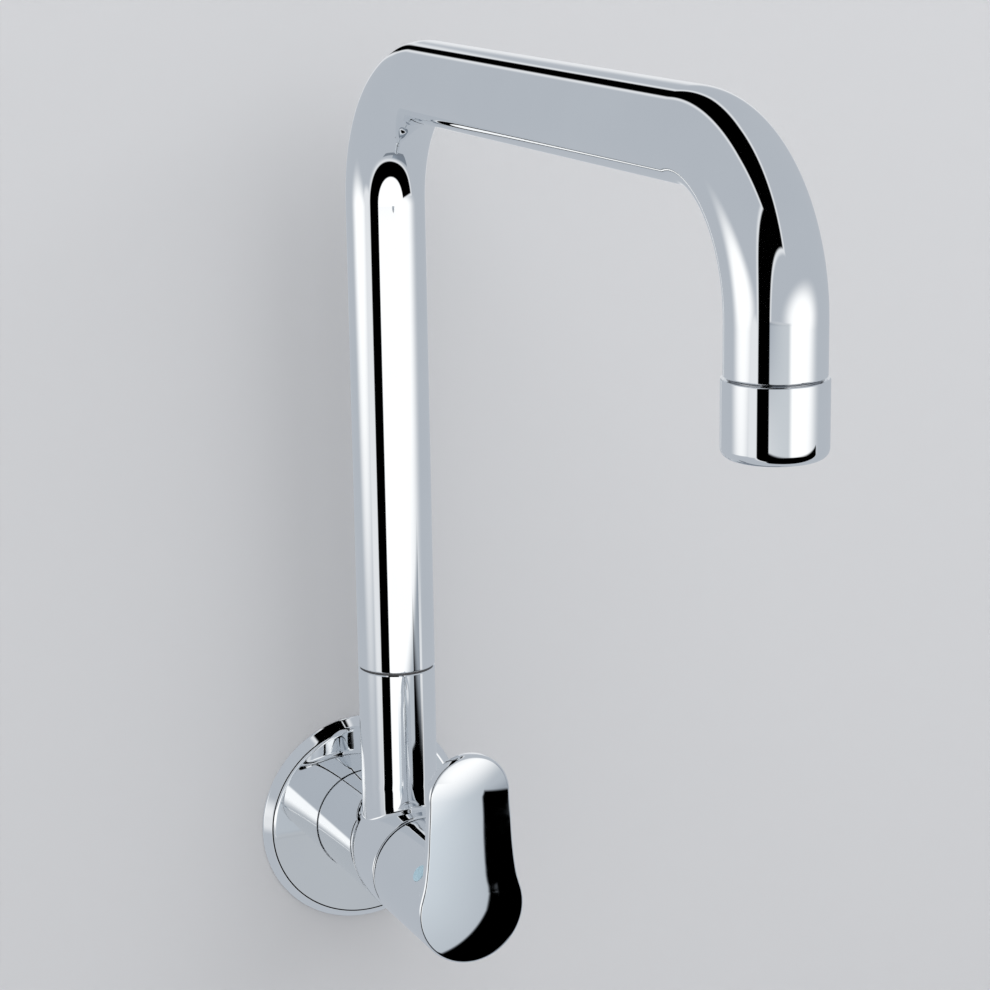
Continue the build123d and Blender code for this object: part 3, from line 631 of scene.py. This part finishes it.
spout = {"riser": 36.0, "arm": 256.0, "reach": 249.0, "bend": 40.0, "foot": 64.6, "end": 203.25,
         "radius": 12.5, "wall": 1.0, "edge": 0.25, "near": 0.15, "around": 192, "bendSteps": 72}


def spoutPath(t):
    # Riser up, quarter bend, level arm, quarter bend, drop: centres and headings along the way in the YZ
    # plane, with a ring close beside each end of a bend
    near = t["near"]
    quarter = np.linspace(0, pi / 2, t["bendSteps"] + 1)
    firstY, firstZ = -t["riser"] - t["bend"], t["arm"] - t["bend"]
    lastY = -t["riser"] - t["reach"] + t["bend"]
    y = [np.full(3, -t["riser"]), firstY + t["bend"] * np.cos(quarter), [firstY - near, lastY + near],
         lastY - t["bend"] * np.sin(quarter), np.full(3, -t["riser"] - t["reach"])]
    z = [[t["foot"] + t["edge"], t["foot"] + t["edge"] + near, firstZ - near],
         firstZ + t["bend"] * np.sin(quarter), [t["arm"]] * 2, firstZ + t["bend"] * np.cos(quarter),
         [firstZ - near, t["end"] + t["edge"] + near, t["end"] + t["edge"]]]
    heading = [np.zeros(3), quarter, [pi / 2] * 2, pi / 2 + quarter, np.full(3, pi)]
    return np.concatenate(y), np.concatenate(z), np.concatenate(heading)


def tubeRows(y, z, heading, radius, around):
    # circles carried along the path, square to it: across is X, the other way lies in the YZ plane
    angle = np.linspace(0, 2 * pi, around, endpoint=False)
    radius = np.broadcast_to(radius, y.shape)
    outward = np.outer(radius, np.cos(angle))
    back = np.outer(radius * np.cos(heading), np.sin(angle))
    up = np.outer(radius * np.sin(heading), np.sin(angle))
    return np.stack([outward, y[:, None] + back, z[:, None] + up], -1)


def lipRows(t, height, out, heading):
    # an end of the tube: the bore's rim, and a quarter round from the end's face to the outside
    ease = np.linspace(pi / 2, 0, 5)[:-1]
    radius = np.concatenate([[t["radius"] - t["wall"]], t["radius"] - t["edge"] * (1 - np.cos(ease))])
    z = np.concatenate([[height], height + t["edge"] * (1 - np.sin(ease))])
    return tubeRows(np.full(5, -out), z, np.full(5, heading), radius, t["around"])


def buildSpout(t):
    # outside and bore carried along one path, joined by a rounded lip at each end
    y, z, heading = spoutPath(t)
    outer = tubeRows(y, z, heading, t["radius"], t["around"])
    inner = tubeRows(y, z, heading, t["radius"] - t["wall"], t["around"])
    foot = lipRows(t, t["foot"], t["riser"], 0.0)
    end = lipRows(t, t["end"], t["riser"] + t["reach"], pi)
    return [grid(np.concatenate([foot, outer, end[::-1], inner[::-1]]) * mm, wrapRows=True)]


makePiece("spoutPipe", buildSpout(spout), "spout", ["spout_tube"], chrome)

nozzle = {"out": 285.0, "radius": 13.1, "foot": 183.5, "footRound": 2.6, "top": 202.75, "topRound": 0.3,
          "mouth": 9.6, "mouthRound": 0.35, "thread": 11.0, "threadRound": 0.2, "ledge": 186.4,
          "inside": 10.6, "seat": 190.5, "around": 256}


def buildNozzle(n):
    # Section: mouth's rim, rounded foot, straight outside, top, thread's bore, washer's seat, ledge
    outline = rounded([
        (n["mouth"], n["foot"], n["mouthRound"]), (n["radius"], n["foot"], n["footRound"]),
        (n["radius"], n["top"], n["topRound"]), (n["thread"], n["top"], n["threadRound"]),
        (n["thread"], n["seat"], 0), (n["inside"], n["seat"], 0), (n["inside"], n["ledge"], 0),
        (n["mouth"], n["ledge"], 0)], steps=12)
    return [grid(turnedUpright(outline, n["out"], n["around"]), wrapRows=True)]


makePiece("nozzleCup", buildNozzle(nozzle), "spout", ["aerator_housing"], chrome)
print("spout and nozzle made")


# Lever: round hub, swollen back and crowned face

lever = {"back": 56.85, "edge": 0.7, "cavity": 14.0, "cavityFloor": 72.0, "bush": 6.2, "bushFloor": 90.2,
         "bandBack": 93.0, "bandFront": 94.8, "swell": 4.13, "faceEdge": 1.1, "edgeRows": 11, "swellRows": 44,
         "backCrown": 2.8, "backRows": 40, "backCrowding": 1.5, "top": 37.3, "tip": 13.6, "hubTop": 6.0,
         "plugOut": 86.1, "plugAngle": 140.8, "plugHole": 2.85, "grubHole": 2.55, "plugFloor": 13.5,
         "neckColumns": 84, "tipColumns": 120, "spreadFrom": 0.47, "spreadPower": 1.5,
         "counts": {"side": 26, "rows": 18}}
neckHeights = np.array([0.0, 2.0, 5.0, 9.0, 14.0, 20.0, 28.0, 37.3])
neckWidths = np.array([17.75, 17.63, 17.0, 15.9, 15.1, 14.5, 14.05, 13.6])


def smoothThrough(x, places, values):
    # Cubic pieces through the given values. Each slope is the weighted mean of its neighbours', and the
    # ends are level.
    step = np.diff(places)
    slope = np.diff(values) / step
    inner = (slope[:-1] * step[1:] + slope[1:] * step[:-1]) / (step[:-1] + step[1:])
    slopes = np.concatenate([[0.0], inner, [0.0]])
    k = np.clip(np.searchsorted(places, x) - 1, 0, len(step) - 1)
    t = (x - places[k]) / step[k]
    return (values[k] * (1 + 2 * t) * (1 - t) ** 2 + slopes[k] * step[k] * t * (1 - t) ** 2
            + values[k + 1] * t ** 2 * (3 - 2 * t) + slopes[k + 1] * step[k] * t ** 2 * (t - 1))


def neckWidth(height):
    # the neck's half width, which never lies inside the hub's circle
    circle = np.sqrt(np.clip(barrel["radius"] ** 2 - height ** 2, 0, None))
    curve = smoothThrough(height, neckHeights, neckWidths)
    return np.maximum(curve, np.where(height < lever["hubTop"], circle, 0))


def columnHeights(v):
    # Heights of the neck's columns. Low down each stands level with its own point of the hub's circle, which
    # has equal steps; further up they spread to reach the tip.
    upper = 2 * v["neckColumns"] + v["tipColumns"]
    turn = np.arange(v["neckColumns"] + 1) * pi / upper
    spread = np.clip((turn - v["spreadFrom"]) / (turn[-1] - v["spreadFrom"]), 0, 1) ** v["spreadPower"]
    circle = barrel["radius"] * np.sin(turn)
    return circle + (v["top"] - circle[-1]) * spread


def leverOutline(v):
    # Loop round the lever's edge and its middle line: right side up, round tip, left side down, round hub
    heights = columnHeights(v)
    neck, down = heights[:-1], heights[:0:-1]
    tip = np.linspace(0, pi, v["tipColumns"], endpoint=False)
    hub = np.linspace(0, pi, 2 * v["neckColumns"] + v["tipColumns"], endpoint=False)
    right = np.stack([neckWidth(neck), neck], -1)
    top = np.stack([v["tip"] * np.cos(tip), v["top"] + v["tip"] * np.sin(tip)], -1)
    left = np.stack([-neckWidth(down), down], -1)
    low = np.stack([-barrel["radius"] * np.cos(hub), -barrel["radius"] * np.sin(hub)], -1)
    middle = np.concatenate([np.stack([0 * neck, neck], -1), np.stack([0 * tip, 0 * tip + v["top"]], -1),
                             np.stack([0 * down, down], -1), np.zeros((len(hub), 2))])
    return np.concatenate([right, top, left, low]), middle


def faceRows(v, edge, middle):
    # The face's section from the side band to the middle line: a small arc off the band and a wide one, whose
    # radius is a multiple of the half width, tangent to each other
    width = np.linalg.norm(edge - middle, axis=1)[None]
    small, wide = v["faceEdge"], v["swell"] * width
    centre = np.sqrt((wide - small) ** 2 - (width - small) ** 2)
    lean = np.arcsin((width - small) / (wide - small))
    turn = np.linspace(0, 1, v["edgeRows"])[:, None] * (pi / 2 - lean)
    rest = np.linspace(1, 0, v["swellRows"])[1:, None] * lean
    across = np.concatenate([width - small + small * np.cos(turn), wide * np.sin(rest)])
    out = v["bandFront"] + np.concatenate([small * np.sin(turn), wide * np.cos(rest) - centre])
    place = middle[None] + (across / width)[..., None] * (edge - middle)[None]
    return np.stack([place[..., 0], -out, place[..., 1]], -1) * mm


def backOut(v, x, z):
    # How far out the lever's swollen back lies: the band less a half ellipse over the half width. The hub's
    # lower half has no swelling.
    width = neckWidth(np.clip(z, 0, v["top"]))
    inTip, upper = z > v["top"], z > 1e-6
    share = np.where(inTip, np.hypot(x, z - v["top"]) / v["tip"], np.abs(x) / width)
    return v["bandBack"] - np.where(upper, v["backCrown"] * np.sqrt(np.clip(1 - share ** 2, 0, None)), 0)


def buildLever(v):
    # Side band and face as rows round the outline, and the back as rows from the outline's upper part down to
    # the hub's upper half circle
    edge, middle = leverOutline(v)
    band = np.stack([np.stack([edge[:, 0], 0 * edge[:, 0] - out, edge[:, 1]], -1)
                     for out in (v["bandBack"], v["bandFront"] - support)]) * mm
    upper = 2 * v["neckColumns"] + v["tipColumns"]
    turn = np.linspace(0, pi, upper + 1)
    arc = np.stack([np.cos(turn), np.sin(turn)], -1) * barrel["radius"]
    flat = mixRows(edge[:upper + 1], arc, v["backRows"], v["backCrowding"])
    back = np.stack([flat[..., 0], -backOut(v, flat[..., 0], flat[..., 1]), flat[..., 1]], -1) * mm
    front = np.concatenate([band, faceRows(v, edge, middle)])
    return [grid(front), grid(back, wrapColumns=False)] + buildHub(v, 2 * upper)


def buildHub(v, around):
    # Outside of the hub and bore of the bush, each with the plug's or the grub screw's mouth. The half
    # with the mouth is turned by a whole number of columns to face the plug.
    step = 2 * pi / around
    wanted = pi / 2 - radians(v["plugAngle"])
    turned = np.round(wanted / step) * step
    counts = dict(v["counts"], long=around // 2)
    start, radius = v["back"] + v["edge"], barrel["radius"]
    rim = lambda angle: backOut(v, radius * np.sin(angle + turned), radius * np.cos(angle + turned))
    mouth = lambda pipe, bore: boreMouth(pipe, bore, v["plugOut"], wanted - turned)
    outside, direction = drilledPipe(
        radius, mouth(radius, v["plugHole"]), v["plugOut"], level(start), rim, counts,
        lambda angle, out: onBarrel(angle + turned, out, radius))
    grub = mouth(v["bush"], v["grubHole"])
    inside = drilledPipe(
        v["bush"], lambda _: grub(direction), v["plugOut"], level(v["cavityFloor"]), level(v["bushFloor"]),
        counts, lambda angle, out: onBarrel(angle + turned, out, v["bush"]))[0]
    turns = np.linspace(0, pi / 2, 8)
    steps = [(radius - v["edge"] * (1 - cos(t)), start - v["edge"] * sin(t)) for t in turns]
    steps += [(v["cavity"], v["back"]), (v["cavity"], v["cavityFloor"]), (v["bush"], v["cavityFloor"])]
    floor = [(v["bush"], v["bushFloor"]), (0.0, v["bushFloor"])]
    grids = [grid(ringsOnBarrel(np.arange(around) * step, rows)) for rows in (steps, floor)]
    return outside + inside + grids + [buildPlugBore(v, direction, wanted, turned, mouth)]


def buildPlugBore(v, direction, wanted, turned, mouth):
    # From the rim on the hub down to the ledge, across it, and down to the rim in the bush's bore
    outward = np.array([sin(wanted), 0, cos(wanted)])
    beside = np.array([cos(wanted), 0, -sin(wanted)])
    ledge = lambda bore: (outward * v["plugFloor"] + beside * (bore * np.cos(direction))[:, None]
                          - np.array([0, 1, 0]) * (v["plugOut"] + bore * np.sin(direction))[:, None]) * mm
    ends = [onBarrel(angle + turned, out, pipe) for pipe, (angle, out) in
            ((barrel["radius"], mouth(barrel["radius"], v["plugHole"])(direction).T),
             (v["bush"], mouth(v["bush"], v["grubHole"])(direction).T))]
    return grid(np.stack([ends[0], ledge(v["plugHole"]), ledge(v["grubHole"]), ends[1]]))


makePiece("leverCasting", buildLever(lever), "handle", ["handle_lever"], chrome, 40.0)
print("lever made")


# Stage: pale wall and floor

stage = {"wallColour": (0.665, 0.67, 0.685), "floorColour": (0.64, 0.64, 0.65), "floorHeight": -0.12,
         "size": 3.0, "roughness": 0.9, "specular": 0.1}


def stagePlane(name, corners, colour):
    # a matt painted sheet that is clear from behind and that the chrome doesn't mirror
    plane = addSheet(name, corners)
    material, tree, shader = newMaterial(name + "Paint")
    shader.inputs["Base Color"].default_value = (*colour, 1)
    shader.inputs["Roughness"].default_value = stage["roughness"]
    shader.inputs["Specular IOR Level"].default_value = stage["specular"]
    clear = addNode(tree, "ShaderNodeBsdfTransparent")
    behind = addNode(tree, "ShaderNodeNewGeometry").outputs["Backfacing"]
    mix = addNode(tree, "ShaderNodeMixShader", {0: behind, 1: shader.outputs[0], 2: clear.outputs[0]})
    tree.links.new(mix.outputs[0], tree.nodes["Material Output"].inputs[0])
    plane.data.materials.append(material)
    plane.visible_glossy = False


half, low = stage["size"], stage["floorHeight"]
stagePlane("wallSheet", [(-half, 0, low), (half, 0, low), (half, 0, half), (-half, 0, half)],
           stage["wallColour"])
stagePlane("floorSheet", [(-half, -half, low), (half, -half, low), (half, 0, low), (-half, 0, low)],
           stage["floorColour"])


# The studio that the chrome mirrors: a grey room with a black frame round a white panel, a black strip
# over the ceiling and soft white lights. Everything is a function of the direction, in radians.

room = {"grey": (0.467, 0.5, 0.545), "white": (1.1, 1.1, 1.1), "plain": (0.78, 0.785, 0.79),
        "panel": {"across": -0.14, "up": -0.19, "tilt": -34.0, "wide": 0.765, "high": 0.83},
        "frame": {"across": -0.3, "up": -0.36, "tilt": -56.0, "wide": 1.69, "high": 2.24},
        "frameTop": (-0.292, 0.167, -1.0), "panelTop": (0.09, 0.14), "panelEdge": (0.0, 0.012),
        "stripEnd": 0.03, "stripLeft": [(1, -0.2, 0.345), (1, -0.32, 0.83), (1, -0.1, 0.35)],
        "stripRight": [(-1, 0.09, 0.145), (-1, 0.1, 0.208), (-1, 0.2, 0.12), (-1, 0.344, -0.45)],
        "blackEdge": (-0.025, 0.01), "paleEdge": (-0.085, -0.03), "pale": 0.5, "glowEdge": (1.5, 0.6),
        "glows": [{"azimuth": 152, "height": -5, "wide": 0.52, "high": 0.22, "strength": 1.0},
                  {"azimuth": 284, "height": -3, "wide": 0.4, "high": 0.2, "strength": 1.0},
                  {"azimuth": 257, "height": -12, "wide": 0.2, "high": 0.12, "strength": 0.55},
                  {"azimuth": 24, "height": 1, "wide": 0.22, "high": 0.2, "strength": 0.55}]}
horizon, grazing = 0.02, 0.2   # least parts ahead at which an oval ends, and below which it no longer narrows


def side(tree, direction, plane):
    # signed angle from a plane through the eye, given by the way it faces
    return along(tree, direction, tuple(unit(np.array(plane, float))))


def length(tree, across, up):
    # root of the sum of the two squares
    return maths(tree, "SQRT", maths(tree, "MULTIPLY_ADD", across, across, maths(tree, "MULTIPLY", up, up)))


def oval(tree, direction, o):
    # Signed angle inside a tilted ellipse that is drawn on a flat sheet one unit in front of the wall:
    # place on the sheet, turned into the ellipse's own axes and divided by its half sizes, then how far
    # short of 1 it is
    ahead = maths(tree, "MAXIMUM", along(tree, direction, (0, -1, 0)), horizon)
    across, up = [maths(tree, "SUBTRACT", maths(tree, "DIVIDE", along(tree, direction, way), ahead), middle)
                  for way, middle in (((1, 0, 0), o["across"]), ((0, 0, 1), o["up"]))]
    c, s = cos(radians(o["tilt"])), sin(radians(o["tilt"]))
    first = maths(tree, "MULTIPLY_ADD", across, c / o["wide"], maths(tree, "MULTIPLY", up, s / o["wide"]))
    second = maths(tree, "MULTIPLY_ADD", across, -s / o["high"], maths(tree, "MULTIPLY", up, c / o["high"]))
    short = maths(tree, "SUBTRACT", 1.0, length(tree, first, second))
    inside = maths(tree, "MULTIPLY", short, (o["wide"] + o["high"]) / 2)
    slant = maths(tree, "MULTIPLY", ahead, maths(tree, "MAXIMUM", ahead, grazing))
    inFront = maths(tree, "GREATER_THAN", ahead, horizon + 0.0001)
    lifted = maths(tree, "ADD", maths(tree, "MULTIPLY", inside, slant), 1.0)   # so that behind it all is -1
    return maths(tree, "MULTIPLY_ADD", lifted, inFront, -1.0)


def glow(tree, direction, g, edge):
    # White spot with a soft rim: distance from its middle, against its half width and half height
    a = radians(g["azimuth"])
    across = maths(tree, "DIVIDE", along(tree, direction, (cos(a), -sin(a), 0)), g["wide"])
    height = maths(tree, "SUBTRACT", along(tree, direction, (0, 0, 1)), sin(radians(g["height"])))
    away = length(tree, across, maths(tree, "DIVIDE", height, g["high"]))
    front = maths(tree, "GREATER_THAN", along(tree, direction, (sin(a), cos(a), 0)), 0.0)
    soft = maths(tree, "MULTIPLY", softStep(tree, away, *edge), g["strength"])
    return maths(tree, "MULTIPLY", soft, front)


def choose(tree, operation, values):
    # the lowest or highest of several values: where shapes overlap, or what they cover together
    result = values[0]
    for value in values[1:]:
        result = maths(tree, operation, result, value)
    return result


def buildWorld(r):
    # Black is the frame's lower part, the strip on its right and the strip overhead, without the panel. What
    # isn't black is grey, and white in the panel, along the black's border and in the glows.
    world = bpy.data.worlds.new("softStudio")
    bpy.context.scene.world = world
    world.use_nodes = True
    tree = world.node_tree
    direction = addNode(tree, "ShaderNodeTexCoord").outputs["Generated"]
    height = along(tree, direction, (0, 0, 1))
    panel, frameOval = oval(tree, direction, r["panel"]), oval(tree, direction, r["frame"])
    low, ceiling, ceilingInner, wallSide = [side(tree, direction, plane) for plane in r["stripRight"]]
    behind = maths(tree, "GREATER_THAN", along(tree, direction, (0, 1, 0)), 0.0)
    wallSide = maths(tree, "MULTIPLY_ADD", maths(tree, "ADD", wallSide, 1.0), behind, -1.0)
    right = choose(tree, "MAXIMUM", [low, choose(tree, "MINIMUM", [ceiling, ceilingInner]), wallSide])
    left = choose(tree, "MINIMUM", [side(tree, direction, plane) for plane in r["stripLeft"]])
    strip = choose(tree, "MINIMUM", [left, right, maths(tree, "SUBTRACT", height, r["stripEnd"])])
    bottom = choose(tree, "MINIMUM", [frameOval, side(tree, direction, r["frameTop"])])
    black = choose(tree, "MAXIMUM", [bottom, choose(tree, "MINIMUM", [frameOval, right]), strip])
    black = choose(tree, "MINIMUM", [black, maths(tree, "MULTIPLY", panel, -1.0)])
    inPanel = maths(tree, "MULTIPLY", softStep(tree, panel, *r["panelEdge"]),
                    softStep(tree, height, -r["panelTop"][0], -r["panelTop"][1]))
    border = maths(tree, "MULTIPLY", softStep(tree, black, *r["paleEdge"]), r["pale"])
    glows = [glow(tree, direction, g, r["glowEdge"]) for g in r["glows"]]
    white = choose(tree, "MAXIMUM", [inPanel, border] + glows)
    shade = mixColour(tree, white, (*r["grey"], 1), (*r["white"], 1))
    dark = mixColour(tree, softStep(tree, black, *r["blackEdge"]), shade, (0, 0, 0, 1))
    light = addNode(tree, "ShaderNodeLightPath")
    mirrored = maths(tree, "MAXIMUM", light.outputs["Is Glossy Ray"], light.outputs["Is Transmission Ray"])
    seen = mixColour(tree, mirrored, (*r["plain"], 1), dark)
    tree.links.new(seen, tree.nodes["Background"].inputs["Color"])


buildWorld(room)


# Tinted gels that only the chrome sees, close to the lever, the flange and the spout's end, which dim or
# blacken the white panel there. Sizes are in metres. Each is upright, "out" from the wall, and clears
# over "soft" at its sides and below, and over "fade" on top, where it may slant. "high" is its colour on
# top, "low" below and "right" towards the right, both as "high" where they aren't given. "reach" is the
# longest mirrored ray that it still dims.

gels = {
    "leverGel": {"out": 0.125, "across": (-0.034, 0.11), "up": (-0.05, 0.046), "soft": 0.003, "fade": 0.024,
                 "high": (0.68, 0.74, 0.79), "low": (0.48, 0.52, 0.56), "right": (0.43, 0.465, 0.505),
                 "turn": 0.035, "slant": 0.4},
    "wallGel": {"out": 0.126, "across": (-0.16, 0.11), "up": (-0.14, -0.047), "soft": 0.004, "fade": 0.003,
                "high": (0.43, 0.455, 0.485)},
    "nozzleGel": {"out": 0.3055, "across": (-0.0225, 0.0215), "up": (0.13, 0.1847), "soft": 0.0006,
                  "fade": 0.0008, "high": (0, 0, 0), "reach": 0.1},
    "waistGel": {"out": 0.1255, "across": (0.027, 0.16), "up": (-0.05, 0.012), "soft": 0.003, "fade": 0.002,
                 "high": (0, 0, 0), "reach": 0.115},
    "sleeveGel": {"out": 0.126, "across": (-0.16, -0.027), "up": (-0.05, -0.03), "soft": 0.003, "fade": 0.018,
                  "high": (0.43, 0.455, 0.485)},
    "outletGel": {"out": 0.305, "across": (-0.0205, -0.0015), "up": (0.18, 0.2173), "soft": 0.0025,
                  "fade": 0.0012, "high": (0.36, 0.395, 0.44), "low": (0.64, 0.66, 0.68),
                  "right": (0.54, 0.57, 0.6), "reach": 0.1}}


def addGel(name, g):
    # Clearness is the product of soft steps at the four sides. The tint goes from low to high with the
    # height, and from there to the right colour across, up to "turn".
    (left, right), (bottom, top) = g["across"], g["up"]
    slant = g.get("slant", 0.0)
    gel = addSheet(name, [(left, -g["out"], bottom), (right, -g["out"], bottom),
                          (right, -g["out"], top + slant * right), (left, -g["out"], top + slant * right)])
    material, tree, shader = newMaterial(name + "Tint")
    tree.nodes.remove(shader)
    place = addNode(tree, "ShaderNodeTexCoord").outputs["Object"]
    x, z = along(tree, place, (1, 0, 0)), along(tree, place, (0, 0, 1))
    mirroredRay = addNode(tree, "ShaderNodeLightPath").outputs["Ray Length"]
    fade = maths(tree, "LESS_THAN", mirroredRay, g.get("reach", 1.0))
    for step in (softStep(tree, x, left, left + g["soft"]), softStep(tree, x, right, right - g["soft"]),
                 softStep(tree, z, bottom, bottom + g["soft"]),
                 softStep(tree, along(tree, place, (-slant, 0, 1)), top, top - g["fade"])):
        fade = maths(tree, "MULTIPLY", fade, step)
    high, low, far = [(*g.get(key, g["high"]), 1) for key in ("high", "low", "right")]
    beside = mixColour(tree, softStep(tree, z, bottom, top), low, high)
    tone = mixColour(tree, softStep(tree, x, left, g.get("turn", right)), beside, far)
    clear = addNode(tree, "ShaderNodeBsdfTransparent", {"Color": mixColour(tree, fade, (1, 1, 1, 1), tone)})
    tree.links.new(clear.outputs[0], tree.nodes["Material Output"].inputs[0])
    gel.data.materials.append(material)
    for ray in ("camera", "diffuse", "transmission", "volume_scatter", "shadow"):
        setattr(gel, "visible_" + ray, False)


for name, gel in gels.items():
    addGel(name, gel)
print("stage and studio made")


# One large soft lamp from the upper right, which the chrome doesn't mirror, for the wall's light and shadow

lamp = {"place": (0.3, -1.3, 1.4), "aim": (0.0, -0.02, 0.05), "size": 2.4, "power": 17.0}


def addLamp(c):
    # a round area lamp that looks at its aim
    data = bpy.data.lights.new("softLamp", "AREA")
    data.shape, data.size, data.energy = "DISK", c["size"], c["power"]
    light = addObject("softLamp", data)
    light.location = c["place"]
    light.rotation_euler = (Vector(c["aim"]) - Vector(c["place"])).to_track_quat("-Z", "Y").to_euler()
    light.visible_glossy = False


addLamp(lamp)


# The photograph's camera: its place in metres, how far it turns to the right, looks down and rolls in
# degrees, and its lens in mm

view = {"place": (-0.32016, -0.85164, 0.33076), "turn": 23.593, "tilt": 13.506, "roll": 0.8745,
        "lens": 101.58, "sensor": 36.0}


def addCamera(c):
    # The way ahead comes from turn and tilt. The level axis across and the one below, square to both, roll
    # about it.
    turn, tilt, roll = radians(c["turn"]), radians(c["tilt"]), radians(c["roll"])
    ahead = np.array([sin(turn) * cos(tilt), cos(turn) * cos(tilt), -sin(tilt)])
    right = np.array([cos(turn), -sin(turn), 0])
    down = np.cross(ahead, right)
    across, below = cos(roll) * right + sin(roll) * down, cos(roll) * down - sin(roll) * right
    data = bpy.data.cameras.new("camera")
    data.lens, data.sensor_width = c["lens"], c["sensor"]
    camera = addObject("camera", data)
    turned = Matrix([list(row) for row in np.stack([across, -below, -ahead], 1)]).to_4x4()
    camera.matrix_world = Matrix.Translation(c["place"]) @ turned
    bpy.context.scene.camera = camera


addCamera(view)
bpy.context.scene.view_settings.view_transform = "Standard"
print("lamp and camera set")
